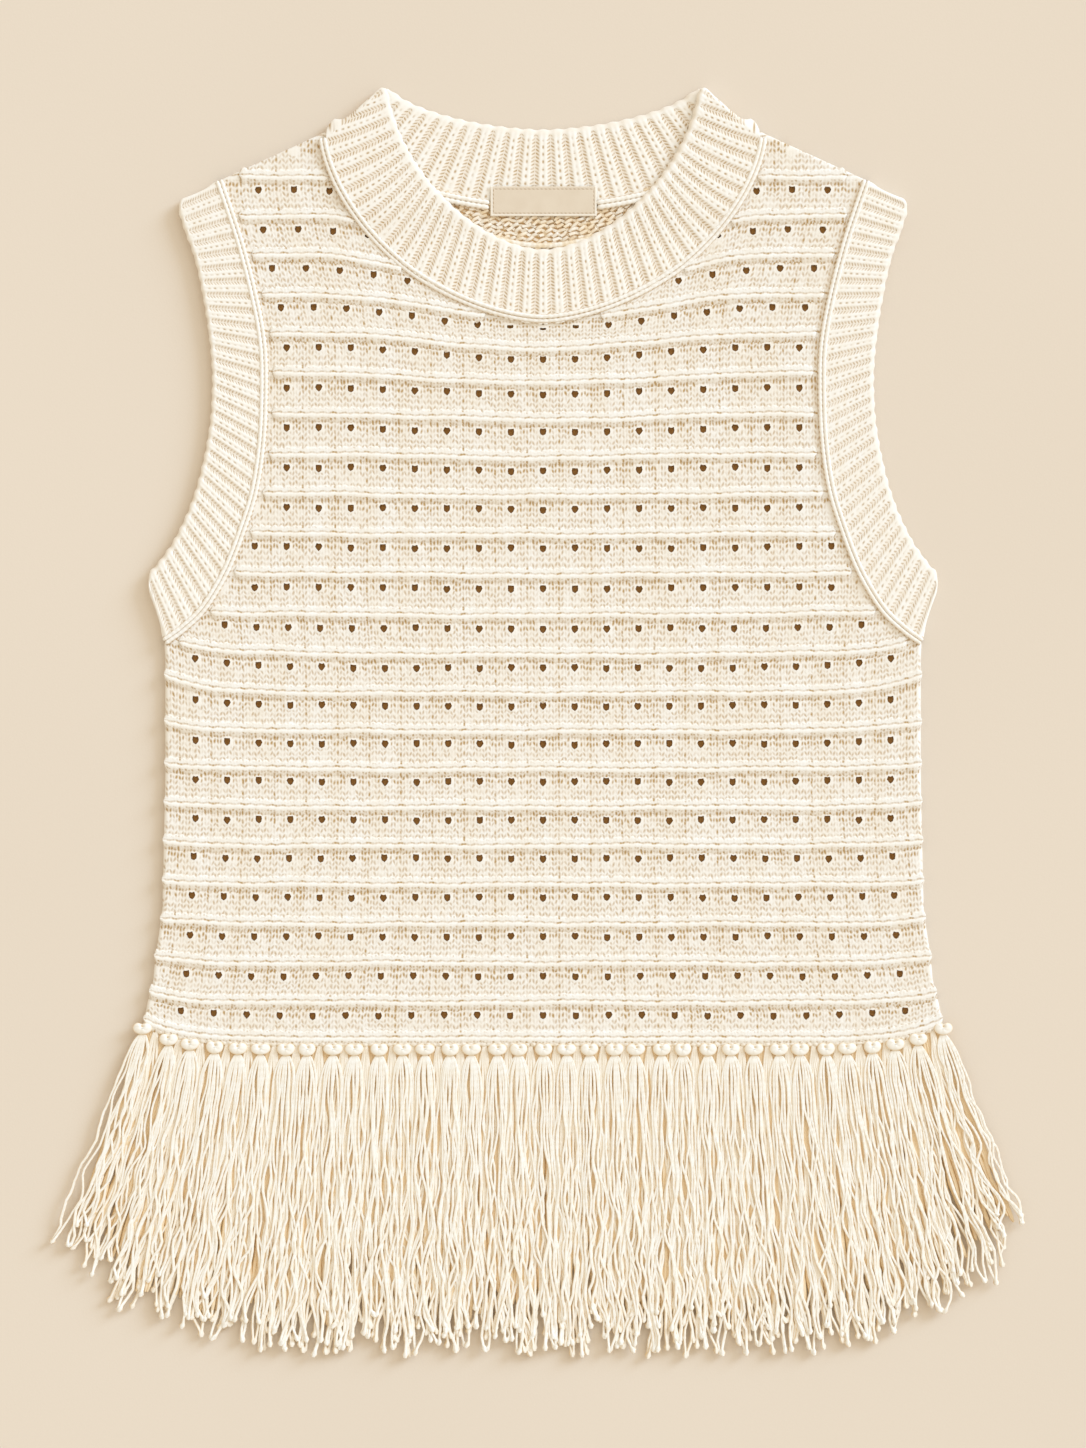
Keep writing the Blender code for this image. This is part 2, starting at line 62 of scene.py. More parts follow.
class Shade:
    """A value in a material's nodes. Operators add Math nodes, and node() adds any other."""

    def __init__(self, tree, socket=None):
        self.tree = tree
        self.socket = socket

    def node(self, kind, settings, sockets, output=0):
        """Adds a node, makes its settings, fills or links its sockets and gives an output."""
        made = self.tree.nodes.new(kind)
        for name, value in settings.items():
            setattr(made, name, value)
        for name, value in sockets.items():
            if isinstance(value, Shade):
                self.tree.links.new(value.socket, made.inputs[name])
            else:
                made.inputs[name].default_value = value
        return Shade(self.tree, made.outputs[output])

    def math(self, operation, *values):
        return self.node("ShaderNodeMath", {"operation": operation}, dict(enumerate(values)))

    def __add__(self, other):
        return self.math("ADD", self, other)

    def __sub__(self, other):
        return self.math("SUBTRACT", self, other)

    def __rsub__(self, other):
        return self.math("SUBTRACT", other, self)

    def __mul__(self, other):
        return self.math("MULTIPLY", self, other)

    def __truediv__(self, other):
        return self.math("DIVIDE", self, other)

    def __pow__(self, other):
        return self.math("POWER", self, other)

    def __abs__(self):
        return self.math("ABSOLUTE", self)

    __radd__ = __add__
    __rmul__ = __mul__

    def frac(self):
        return self.math("FRACT", self)

    def floor(self):
        return self.math("FLOOR", self)

    def sin(self):
        return self.math("SINE", self)

    def most(self, other):
        return self.math("MAXIMUM", self, other)

    def ramp(self, low, high):
        """0 at low and 1 at high, smoothly."""
        sockets = {"Value": self, "From Min": low, "From Max": high}
        return self.node("ShaderNodeMapRange", {"interpolation_type": "SMOOTHSTEP"}, sockets)

    def bell(self, width):
        """1 at 0, and 0 past the width to each side of it."""
        return 1.0 - abs(self).ramp(0.0, width)

    def mix(self, first, second):
        """The first colour where self is 0, the second where it is 1."""
        return self.node("ShaderNodeMix", {"data_type": "RGBA"}, {0: self, 6: first, 7: second}, 2)

    def vector(self, x, y, z=0.0):
        return self.node("ShaderNodeCombineXYZ", {}, {0: x, 1: y, 2: z})

    def parts(self):
        return [self.node("ShaderNodeSeparateXYZ", {}, {0: self}, output) for output in range(3)]

    def here(self):
        """Object coordinates, which are metres in the frame."""
        return self.node("ShaderNodeTexCoord", {}, {}, 3)

    def noise(self, place, scale, detail=1.0):
        sockets = {"Vector": place, "Scale": scale, "Detail": detail}
        return self.node("ShaderNodeTexNoise", {}, sockets)

    def chance(self, x, y):
        """Three even random numbers, 0 to 1, for each whole x and y."""
        place = self.vector(x, y)
        return self.node("ShaderNodeTexWhiteNoise", {"noise_dimensions": "2D"}, {0: place}, 1).parts()


def principled(name, roughness, sheen):
    """A material whose shader has one roughness and sheen all over, with its tree as a Shade."""
    material = bpy.data.materials.new(name)
    material.use_nodes = True
    shader = material.node_tree.nodes["Principled BSDF"]
    shader.inputs["Roughness"].default_value = roughness
    shader.inputs["Specular IOR Level"].default_value = 0.2
    shader.inputs["Sheen Weight"].default_value = sheen
    return material, shader, Shade(material.node_tree)


def wire(shader, colour, height, depth):
    """Links a colour, and a height as a bump of `depth` metres, to a shader."""
    sockets = {"Height": height, "Strength": 1.0, "Distance": depth}
    bump = colour.node("ShaderNodeBump", {}, sockets)
    colour.tree.links.new(colour.socket, shader.inputs["Base Color"])
    colour.tree.links.new(bump.socket, shader.inputs["Normal"])


# Floor and light: a plain warm beige surface, lit softly from the upper right. One sun gives
# the relief of the knitting, and a lower, wider one the long soft shadow at the lower left.
FLOOR_COLOUR = (0.771, 0.679, 0.570, 1.0)
FLOOR_DIM = (0.751, 0.659, 0.550, 1.0)
FLOOR_SIDE = 12.0
FLOOR_Z = -0.0002
FLOOR_NOISE = {"grain": 900.0, "patches": 2.5, "bump": 0.00003}
TONE = (0.3, 0.7)  # a noise runs from dark to light between these
SKY_COLOUR = (1.0, 0.903, 0.753, 1.0)
SKY_STRENGTH = 0.845
SUNS = (  # strength, angular size, tilt from the vertical, turn towards the upper right
    {"energy": 0.50, "angle": 0.60, "tilt": 0.85, "turn": 2.45, "colour": (0.75, 0.88, 1.0)},
    {"energy": 2.29, "angle": 0.45, "tilt": 1.19, "turn": 2.15, "colour": (0.58, 0.755, 1.0)},
)

scene = bpy.context.scene
scene.view_settings.view_transform = "Standard"
scene.view_settings.look = "None"
world = bpy.data.worlds.new("studio")
scene.world = world
world.use_nodes = True
world.node_tree.nodes["Background"].inputs["Color"].default_value = SKY_COLOUR
world.node_tree.nodes["Background"].inputs["Strength"].default_value = SKY_STRENGTH
for number, facts in enumerate(SUNS):
    sun = bpy.data.objects.new(f"sun_{number}", bpy.data.lights.new(f"sun_{number}", "SUN"))
    scene.collection.objects.link(sun)
    sun.data.energy = facts["energy"]
    sun.data.color = facts["colour"]
    sun.data.angle = facts["angle"]
    sun.rotation_euler = (facts["tilt"], 0.0, facts["turn"])

floor_material, floor_shader, tree = principled("beige_surface", 0.9, 0.0)
place = tree.here()
grain = tree.noise(place, FLOOR_NOISE["grain"], 2.0)
tone = (0.3 * grain + 0.7 * tree.noise(place, FLOOR_NOISE["patches"])).ramp(*TONE)
wire(floor_shader, tone.mix(FLOOR_DIM, FLOOR_COLOUR), grain, FLOOR_NOISE["bump"])
half = 0.5 * FLOOR_SIDE
floor_mesh = bpy.data.meshes.new("floor")
corners = ((-half, -half), (half, -half), (half, half), (-half, half))
floor_mesh.from_pydata([(x, y, FLOOR_Z) for x, y in corners], [], [(0, 1, 2, 3)])
floor_mesh.materials.append(floor_material)
floor = bpy.data.objects.new("floor", floor_mesh)
scene.collection.objects.link(floor)

# Front and back panels: cotton yarn knitted in rows from the hem up, with a row of eyelets
# and a welt to each band. The two lie on each other, joined at the sides and the shoulders.
# Both are cut to one outline: neck, shoulder, armhole, side and hem.
NECK_POWER = 1.7
NECK = {  # each curve is a superellipse below its top: half width, depth, top
    "front_seam": (0.1267, 0.1116, 0.3448),
    "front_edge": (0.0905, 0.0975, 0.3743),
    "back_seam": (0.1267, 0.0448, 0.3448),
    "back_edge": (0.0905, 0.0275, 0.3743),
}
ARMHOLE = np.array((  # rib lines, shoulder to underarm: seam x, seam y, free edge x, free edge y
    (0.1883, 0.3169, 0.2139, 0.3047),
    (0.1819, 0.2983, 0.2081, 0.2867),
    (0.1755, 0.2785, 0.2023, 0.2704),
    (0.1680, 0.2495, 0.1970, 0.2448),
    (0.1633, 0.2239, 0.1938, 0.2227),
    (0.1622, 0.2012, 0.1924, 0.2018),
    (0.1633, 0.1681, 0.1935, 0.1774),
    (0.1674, 0.1385, 0.1976, 0.1536),
    (0.1744, 0.1152, 0.2040, 0.1309),
    (0.1842, 0.0902, 0.2133, 0.1100),
    (0.1970, 0.0687, 0.2226, 0.0960),
    (0.2092, 0.0565, 0.2290, 0.0885),
    (0.2203, 0.0484, 0.2307, 0.0821),
))
SIDES = np.array((  # half width of the body at each height
    (0.2345, -0.1853),
    (0.2325, -0.1742),
    (0.2302, -0.1620),
    (0.2267, -0.1481),
    (0.2255, -0.1341),
    (0.2232, -0.1202),
    (0.2214, -0.1062),
    (0.2197, -0.0300),
    (0.2197, 0.0400),
))
HEM_Y = -0.1853
EYELET_ROW_Y = -0.1687  # the lowest row of eyelets, beside the middle
WELT_ROW_Y = -0.1600  # the lowest welt's line of holes
BAND = 0.02286  # from one welt to the next
WELTS = 22
HEM_CHAIN_Y = -0.1809
DIP = {"depth": 0.0070, "at": 0.2198, "fade": 0.045, "half_width": 0.134}
CORNER_RISE = np.array((  # rows of knitting rise at the sides: height, rise
    (-0.1853, 0.0120),
    (-0.1650, 0.0075),
    (-0.1400, 0.0045),
    (-0.0300, 0.0040),
    (0.0, 0.0070),
    (0.0155, 0.0130),
    (0.0400, 0.0180),
    (0.0700, 0.0),
))
CORNER_HALF_WIDTH = 0.2325
CORNER_POWER = 11
ROW_SETTLE = np.array((  # the bands stretch a little unevenly down the body: height, drop
    (-0.080, 0.0),
    (-0.033, 0.0012),
    (0.034, 0.0037),
    (0.060, 0.0036),
    (0.103, 0.0023),
    (0.171, 0.0014),
    (0.217, 0.0),
))
EYELET_PITCH = np.array((  # the body is fuller at the hem and the shoulders: height, pitch
    (-0.1690, 0.01915),
    (-0.1457, 0.01886),
    (-0.1225, 0.01866),
    (-0.0551, 0.01837),
    (0.0338, 0.01837),
    (0.0798, 0.01863),
    (0.2198, 0.01863),
    (0.2431, 0.01906),
    (0.2657, 0.01970),
    (0.2884, 0.02034),
    (0.3105, 0.02069),
))
STITCHES = 5  # to a pitch of the eyelets
SETTLE_LESS = 0.75  # at the sides, by this share
UNEVEN = 0.00030  # the rows wander by this much
HEM_CALM = 0.01  # height above the hem over which the wandering begins
ROW_WAVES = (  # share, length over two pi, turn from row to row
    (1.0, 0.023, 190.0),
    (0.7, 0.0097, -310.0),
    (0.5, 0.0061, 470.0),
)
BACK_TOP = 0.0024
FRONT_LOW = 0.0027
FRONT_TOP = 0.0051
SHARP_ANGLE = 1.0
LINE_POINTS = 97
HALVINGS = 40


def smooth_line(points, count):
    """Points along a Catmull-Rom curve: each stretch is a cubic through its two ends."""
    ends = np.vstack([2 * points[0] - points[1], points, 2 * points[-1] - points[-2]])
    at = np.linspace(0.0, len(points) - 1.0, count)
    first = np.minimum(at.astype(int), len(points) - 2)
    t = (at - first)[:, None]
    a, b, c, d = (ends[first + shift] for shift in range(4))
    return 0.5 * (
        2 * b + (c - a) * t + (2 * a - 5 * b + 4 * c - d) * t**2 + (3 * b - a - 3 * c + d) * t**3
    )


ARMHOLE_SEAM = smooth_line(ARMHOLE[:, 0:2], LINE_POINTS)
ARMHOLE_EDGE = smooth_line(ARMHOLE[:, 2:4], LINE_POINTS)
SHOULDER = (NECK["front_seam"][0] + 0.0006, NECK["front_seam"][2])
OUTLINE = np.vstack([SIDES, ARMHOLE_SEAM[::-1], SHOULDER])


def outer_x(y):
    """Half width of the body at the heights y."""
    return np.interp(y, OUTLINE[:, 1], OUTLINE[:, 0])


def neck_y(name, x):
    """Height of a neck curve: top - depth (1 - |x / half width|^1.7)^(1 / 1.7)."""
    half_width, depth, top = NECK[name]
    share = np.clip(1.0 - (np.abs(x) / half_width) ** NECK_POWER, 0.0, 1.0)
    return top - depth * share ** (1.0 / NECK_POWER)


def waves(table, x, row):
    """A sum of sines along x: share sin(x / length + turn row) for each row of a table."""
    return sum(share * np.sin(x / length + turn * row) for share, length, turn in table)


def row_y(row, x, dips=1.0):
    """Height at x of the row of knitting that lies at `row` beside the middle.

    Rows of the front dip in a cosine below the neckband. All rise at the sides with a high
    power of x, and wander in three slow sines.
    """
    reach = np.minimum(np.abs(x) / DIP["half_width"], 1.0)
    fade = np.exp((row - DIP["at"]) / DIP["fade"])
    dip = dips * DIP["depth"] * fade * 0.5 * (1.0 + np.cos(np.pi * reach))
    corner = np.interp(row, CORNER_RISE[:, 0], CORNER_RISE[:, 1])
    rise = corner * (np.abs(x) / CORNER_HALF_WIDTH) ** CORNER_POWER
    calm = np.clip((row - HEM_Y) / HEM_CALM, 0.0, 1.0)
    settle = np.interp(row, ROW_SETTLE[:, 0], ROW_SETTLE[:, 1])
    settle = settle * (1.0 - SETTLE_LESS * (np.abs(x) / CORNER_HALF_WIDTH) ** 3)
    return row - settle - dip + rise + UNEVEN * waves(ROW_WAVES, x, row) * calm


def pitch_at(row):
    """Distance between the eyelets in a row."""
    return np.interp(row, EYELET_PITCH[:, 0], EYELET_PITCH[:, 1])


def halving(inside, low, high):
    """Where tests that hold at `low` stop holding, found by halving, for whole arrays."""
    for _ in range(HALVINGS):
        middle = 0.5 * (low + high)
        held = inside(middle)
        low = np.where(held, middle, low)
        high = np.where(held, high, middle)
    return low


def row_ends(rows, neck, dips=1.0):
    """Where rows of knitting meet the neck, or the middle, and the outer edge."""
    zero = np.zeros_like(rows)
    cut = row_y(rows, zero, dips) > neck_y(neck, zero)
    inner = halving(lambda x: row_y(rows, x, dips) > neck_y(neck, x), zero, zero + NECK[neck][0])
    inner = np.where(cut, inner, 0.0)
    outer = halving(lambda x: x < outer_x(row_y(rows, x, dips)), inner, zero + 0.30)
    return inner, outer


def cells(grid):
    """For each cell of a grid, the values at the corners of its two triangles."""
    a, b = grid[..., :-1, :-1], grid[..., :-1, 1:]
    c, d = grid[..., 1:, 1:], grid[..., 1:, :-1]
    return np.stack([np.stack([a, b, c], -1), np.stack([a, c, d], -1)], -2)


def skin(points, u, v, around=False, along=False):
    """Triangles over grids of points, shaped (..., rows, columns, 3), and their UV places.

    `around` joins the last column to the first and `along` the last row, where u and v hold
    one value more.
    """
    index = np.arange(points[..., 0].size).reshape(points.shape[:-1])
    if around:
        index = np.concatenate([index, index[..., :1]], -1)
    if along:
        index = np.concatenate([index, index[..., :1, :]], -2)
    places = [np.broadcast_to(values, index.shape) for values in (u, v)]
    return cells(index), np.stack([cells(values) for values in places], -1)


def merged(parts):
    """Several (points, triangles, UV places) as one."""
    starts = np.cumsum([0] + [len(points) for points, _, _ in parts])
    points = np.concatenate([points for points, _, _ in parts])
    faces = np.concatenate([faces + start for start, (_, faces, _) in zip(starts, parts)])
    return points, faces, np.concatenate([uv for _, _, uv in parts])


def place_mesh(mesh, material, nodes):
    """A piece of one material from a mesh, in the place of the solids of some nodes."""
    mesh.materials.append(material)
    piece = bpy.data.objects.new(mesh.name, mesh)
    scene.collection.objects.link(piece)
    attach(piece, "root")
    if nodes:
        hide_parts(*nodes)
    return piece


def add_piece(name, shape, material, nodes=()):
    """A piece from closed shapes: points (n, 3), triangles (m, 3), UV places (m, 3, 2)."""
    points, faces, uv = shape
    a, b, c = (points[faces[:, corner]] for corner in range(3))
    if np.einsum("ij,ij->", a, np.cross(b, c)) < 0.0:  # six times the volume inside
        faces, uv = faces[:, ::-1], uv[:, ::-1]
    mesh = bpy.data.meshes.new(name)
    mesh.vertices.add(len(points))
    mesh.vertices.foreach_set("co", points.astype(np.float32).ravel())
    mesh.loops.add(faces.size)
    mesh.loops.foreach_set("vertex_index", faces.astype(np.int32).ravel())
    mesh.polygons.add(len(faces))
    mesh.polygons.foreach_set("loop_start", np.arange(0, faces.size, 3, dtype=np.int32))
    layer = mesh.uv_layers.new(name="yarn")
    layer.uv.foreach_set("vector", uv.astype(np.float32).ravel())
    mesh.update(calc_edges=True)
    mesh.shade_smooth()
    mesh.set_sharp_from_angle(angle=SHARP_ANGLE)
    return place_mesh(mesh, material, nodes)


def walled(points, faces, uv, low):
    """A sheet closed into a wall: the same sheet at height `low`, and sides between the two.

    Points of the sheet that share a place are made one first, and faces without area go.
    """
    keys = np.round(points[:, :2] * 1e7).astype(np.int64)
    _, kept, back = np.unique(keys, axis=0, return_index=True, return_inverse=True)
    points, faces = points[kept], back.ravel()[faces]
    a, b, c = faces.T
    whole = (a != b) & (b != c) & (c != a)
    faces, uv = faces[whole], uv[whole]
    count = len(points)
    edges = np.concatenate([faces[:, [0, 1]], faces[:, [1, 2]], faces[:, [2, 0]]])
    places = np.concatenate([uv[:, [0, 1]], uv[:, [1, 2]], uv[:, [2, 0]]])
    rim = ~np.isin(edges[:, 0] * count + edges[:, 1], edges[:, 1] * count + edges[:, 0])
    (a, b), (p, q) = edges[rim].T, places[rim].swapaxes(0, 1)
    under = points * (1.0, 1.0, 0.0) + (0.0, 0.0, low)
    sides = [np.stack([a, a + count, b + count], 1), np.stack([a, b + count, b], 1)]
    side_uv = [np.stack([p, p, q], 1), np.stack([p, q, q], 1)]
    return (
        np.vstack([points, under]),
        np.concatenate([faces, faces[:, ::-1] + count] + sides),
        np.concatenate([uv, uv[:, ::-1]] + side_uv),
    )


EYELET_ROUND = {  # grid places round an eyelet, up and right, and where they lie: a blunt drop
    (-1, -1): (-0.00145, -0.00150),
    (-1, 0): (0.0, -0.00255),
    (-1, 1): (0.00145, -0.00150),
    (0, -1): (-0.00205, 0.00020),
    (0, 1): (0.00205, 0.00020),
    (1, -1): (-0.00150, 0.00195),
    (1, 0): (0.0, 0.00175),
    (1, 1): (0.00150, 0.00195),
}
EYELET_UNEVEN = 0.00018
EYELET_RIM = 0.00030
EYELET_FROM_EDGE = 0.0070
EYELET_FROM_NECK = 0.0014
EYELET_SQUEEZED = {"within": 0.0080, "least": 0.35}  # slits close under the neck seam
EYELET_LOWERED = 0.0011  # the middle one close under the neck, also a row of the grid lower
EYELET_COLUMNS = 13
EDGE_STEP = 0.0008  # the two outermost columns of the grid, which round the edge
EDGE_DROPS = (0.0013, 0.0004)
SAG = {"at": 0.80, "width": 0.12, "depth": 0.0003}  # the cloth sinks below each welt


def panel(neck, columns, rows_in_band, top, low, eyelets, dips):
    """A panel as a closed wall, knitted on a grid of `columns` to a pitch.

    Half the panel is a grid of rows and columns. Columns lie at equal shares of the eyelets'
    pitch, held between the neck and the outer edge, where points that meet are made one. The
    points round each eyelet move to its rim, and the cells inside it are left out.
    """
    step = BAND / rows_in_band
    below = round((EYELET_ROW_Y - HEM_Y) / step)
    top_row = halving(lambda r: row_y(r, SHOULDER[0], dips) < SHOULDER[1], 0.30, 0.40)
    rows = EYELET_ROW_Y + step * np.arange(-below, int((top_row - EYELET_ROW_Y) / step) + 1)
    rows = np.append(rows, top_row)
    inner, outer = row_ends(rows, neck, dips)
    pitch = pitch_at(rows)
    count = int(outer.max() / (pitch.min() / columns)) + 3
    k = np.arange(count)
    least = np.where(inner[:, None] > 0.0, inner[:, None] + np.minimum(k, 2) * EDGE_STEP, 0.0)
    most = outer[:, None] - np.clip(count - 1 - k, 0, 2) * EDGE_STEP
    x = np.clip(k * pitch[:, None] / columns, np.minimum(least, most), most)
    y = row_y(rows[:, None], x, dips)
    v = (rows[:, None] - WELT_ROW_Y) / BAND + np.zeros_like(x)
    z = top - SAG["depth"] * np.exp(-(((np.mod(v, 1.0) - SAG["at"]) / SAG["width"]) ** 2))
    z[:, -2:] -= EDGE_DROPS[::-1]
    keep = np.ones((len(rows) - 1, count - 1), bool)
    if eyelets:
        spots = np.arange(below, len(rows) - 2, rows_in_band), np.arange(EYELET_COLUMNS)
        i, j = (values.ravel() for values in np.meshgrid(*spots, indexing="ij"))
        at = j * pitch[i]
        height = row_y(rows[i], at)
        clear = (at + EYELET_FROM_EDGE < outer[i]) & (height < SHOULDER[1] - EYELET_FROM_EDGE)
        clear &= (at > inner[i] + EYELET_FROM_NECK) | (inner[i] == 0.0)
        clear &= (height + EYELET_FROM_NECK < neck_y(neck, at)) | (at > NECK[neck][0])
        crowded = (at == 0.0) & (inner[i + 2] > 0.0)  # its rim would lie on the neck's cut
        i, height = i - crowded, height - EYELET_LOWERED * crowded
        i, at, height, c = i[clear], at[clear], height[clear], (j * columns)[clear]
        room = (neck_y(neck, at) - height + (at > NECK[neck][0])) / EYELET_SQUEEZED["within"]
        tall = np.clip(room, EYELET_SQUEEZED["least"], 1.0)
        for (up, right), (dx, dy) in EYELET_ROUND.items():
            there = c + right >= 0
            spot = i[there] + up, c[there] + right
            turn = 5.3 * i[there] + 2.9 * c[there] + 3.1 * up + 1.7 * right
            x[spot] = at[there] + dx + EYELET_UNEVEN * np.sin(turn) * (c[there] > 0)
            y[spot] = height[there] + (dy + EYELET_UNEVEN * np.cos(1.3 * turn)) * tall[there]
            v[spot] += dy * tall[there] / BAND - up / rows_in_band
            z[spot] += EYELET_RIM
        for up in (-1, 0):
            for right in (-1, 0):
                there = c + right >= 0
                keep[i[there] + up, c[there] + right] = False
    half_points = np.stack([x, y, z], -1)
    faces, uv = skin(half_points, STITCHES * x / pitch[:, None], v)
    faces, uv = faces[keep].reshape(-1, 3), uv[keep].reshape(-1, 3, 2)
    half_points = half_points.reshape(-1, 3)
    mirror = half_points * (-1.0, 1.0, 1.0), faces[:, ::-1], uv[:, ::-1] * (-1.0, 1.0)
    return walled(*merged([(half_points, faces, uv), mirror]), low)


KNIT_ROUGHNESS = 0.85
YARN_ROUGHNESS = 0.8
YARN_SHEEN = 0.1
KNIT_BUMP = 0.0004
CREAM = (0.925, 0.900, 0.848, 1.0)
CREAM_WARM = (0.905, 0.858, 0.774, 1.0)
SHADE_TAN = (0.715, 0.538, 0.335, 1.0)
# Painted shade in the gaps between yarns: between stitch legs, in holes, in rib valleys and in cord
# furrows
GAP_SHADE_TAN = (0.500, 0.320, 0.130, 1.0)
# Painted shade seen through the eyelets, on the back's upper face
EYELET_SHADE_BROWN = (0.340, 0.170, 0.050, 1.0)
# Painted shade between the inside loops, on the back's upper face
INSIDE_SHADE_TAN = (0.700, 0.480, 0.240, 1.0)
OPENING = {"low": 0.2755, "high": 0.2775, "half_width": 0.0920}  # where the back's inside shows
UPPER_FACE = (0.0016, 0.0020)  # heights of the back: its edges and underside stay cream
# The marks are painted shade in the gaps of the knitting.
MARK_ROWS = 7.0  # rows of small upright marks in a band, between the legs of the stitches
MARK_SIZE = (0.60, 0.66)
HALFWAY_ROWS = 4.0  # rows of longer ones halfway between two eyelets
HALFWAY_SIZE = (0.60, 0.40)
HOLE_WIDTH = 0.045
EYELET_DOWN = 0.39  # where an eyelet lies in its band
EYELET_CLEAR = {"across": 32.0, "along": 39.3, "low": 4.5, "high": 7.0}  # unmarked round it
LOWER_ROWS = ((1.0, 0.64, 0.11), (1.2, 0.815, 0.07))  # darker: share, place in a band, width


def dashes(tree, across, along, wide, tall, slant=0.0):
    """Small upright marks, one to each whole step across and along, none alike; 0 to 1.

    They lean to the left and the right by turns, by `slant` of a step at their ends.
    """
    column = (across + 0.5).floor()
    place = along + 0.36 * tree.chance(column, 7.0)[0]
    right, lean, strong = tree.chance(column, place.floor())
    up = place.frac() - 0.5 + 0.24 * (right - 0.5)
    turns = (4.0 * (column * 0.5).frac() - 1.0) * slant
    aside = across - column + 0.25 * (right - 0.5) + (0.50 * (lean - 0.5) + turns) * up
    return aside.bell(wide) * up.bell(tall) * strong.ramp(-0.3, 0.8)


def yarn(name, roughness):
    """A material with its shader and tree, the yarn's UV place in it, and that place's u and v."""
    material, shader, tree = principled(name, roughness, YARN_SHEEN)
    uv = tree.node("ShaderNodeUVMap", {"uv_map": "yarn"}, {})
    return material, shader, tree, uv, *uv.parts()[:2]


def knit_material(name, back):
    """Cream cotton in plain knitting: bands between lines of holes, each with eyelets.

    u counts stitches, two legs to a stitch with a mark of painted shade between them, and v counts
    bands.
    """
    material, shader, tree, uv, u, v = yarn(name, KNIT_ROUGHNESS)
    wobble = tree.noise(uv, 1.1) - 0.5
    fine = tree.noise(tree.vector(u * 3.0, v * 18.0), 1.0) - 0.5
    down = 1.0 - v.frac()  # 0 at a line of holes, 1 at the next below it
    legs = 2.0 * u + 0.40 * wobble + 0.20 * fine
    upper = down.ramp(0.10, 0.15) * (1.0 - 0.55 * down.ramp(0.40, 0.50))
    slant = 0.30 + 0.40 * down.ramp(0.42, 0.58)
    # Painted shade: tan marks in the gaps between the stitches' legs.
    marks = dashes(tree, legs, v * MARK_ROWS, *MARK_SIZE, slant)
    aside = (u / STITCHES + 0.5).frac() - 0.5
    halfway = abs(aside).ramp(0.42, 0.48)
    long_marks = dashes(tree, legs, v * HALFWAY_ROWS, *HALFWAY_SIZE)
    marks = (marks * (0.33 + 0.79 * upper)).most(1.1 * long_marks * halfway)
    along = EYELET_CLEAR["along"] * (down - EYELET_DOWN)
    ring = ((EYELET_CLEAR["across"] * aside) ** 2.0 + along**2.0) ** 0.5
    marks = marks * ring.ramp(EYELET_CLEAR["low"], EYELET_CLEAR["high"])
    marks = marks * down.ramp(0.10, 0.14) * (1.0 - down.ramp(0.88, 0.93))
    # Painted shade: dark dashes along each line of holes.
    holes = v - (v + 0.5).floor() + 0.016 * fine + 0.011 * (u * 3.7).sin()
    strong = tree.chance((legs + 0.5).floor(), 3.0)[1].ramp(0.3, 0.95)
    line = holes.bell(HOLE_WIDTH) * (0.45 + 0.30 * strong + 0.45 * abs(aside).ramp(0.38, 0.46))
    marks = marks.most(line * (0.6 + 0.4 * (legs.frac() - 0.5).bell(0.75)))
    # Painted shadow below each welt's roll, fading down the band.
    soft = down.ramp(0.10, 0.19) * (1.0 - 0.45 * down.ramp(0.27, 0.36))
    soft = soft * (1.0 - down.ramp(0.45, 0.53))
    lower = sum(share * (down - at).bell(width) for share, at, width in LOWER_ROWS)
    ridge = abs((legs * np.pi).sin())
    patch = 0.65 + 0.7 * tree.noise(uv, 0.8)
    tone = tree.noise(uv, 0.35, 2.0).ramp(*TONE)
    cream = tone.mix(CREAM_WARM, CREAM)
    tinted = (0.13 * soft * (0.8 + fine) + 0.10 * lower).mix(cream, SHADE_TAN)
    colour = (marks * patch).mix(tinted, GAP_SHADE_TAN)
    # The back's upper face is painted with shade: brown under the front's eyelets, and tan between
    # the inside loops where the neck opening shows it.
    if back:
        x, y, z = tree.here().parts()
        inside = y.ramp(OPENING["low"], OPENING["high"])
        inside = inside * (1.0 - abs(x).ramp(OPENING["half_width"] - 0.001, OPENING["half_width"]))
        upper_face = z.ramp(*UPPER_FACE)
        colour = upper_face.mix(colour, inside.mix(EYELET_SHADE_BROWN, INSIDE_SHADE_TAN))
    fibre = tree.noise(tree.vector(u * 6.0, v * 40.0), 3.0, 2.0)
    wire(shader, colour, 0.10 * ridge - 0.5 * marks + 0.2 * fibre, KNIT_BUMP)
    return material


body_knit = knit_material("body_knit", False)
inside_knit = knit_material("inside_knit", True)
front_shape = panel("front_seam", 8, 11, FRONT_TOP, FRONT_LOW, True, 1.0)
front = add_piece("front_panel_knit", front_shape, body_knit, ["front_panel"])
back_shape = panel("back_seam", 2, 6, BACK_TOP, 0.0, False, 0.0)
back = add_piece("back_panel_knit", back_shape, inside_knit, ["back_panel"])

# Welts: at each band of the front, two rows of chain with a line of holes between them, the
# lower one rolled over. Knitted in one with the front, so they stand on it and end at its seams.
WELT_SECTION = np.array((  # height above the line of holes, height above the panel
    (0.0040, -0.0003),
    (0.0031, 0.00040),
    (0.0018, 0.00085),
    (0.00035, 0.00035),
    (-0.0006, 0.00100),
    (-0.0017, 0.00130),
    (-0.0028, 0.00100),
    (-0.0040, 0.00050),
    (-0.0056, -0.0002),
))
WELT_CENTRE = (-0.0003, 0.0004)
WELT_STEP = 0.00124
WELT_END = 0.0024  # length over which an end rounds off
WELT_END_SIZE = 0.25
WELT_SWELL = {"stitch": 0.10, "slow": 0.06, "rate": 2.3, "turn": 900.0}
WELT_PAST_SIDE = 0.0006
WELT_BEFORE_SEAM = 0.0050
WELT_BEFORE_NECK = 0.0045
UNDERARM_Y = 0.0484


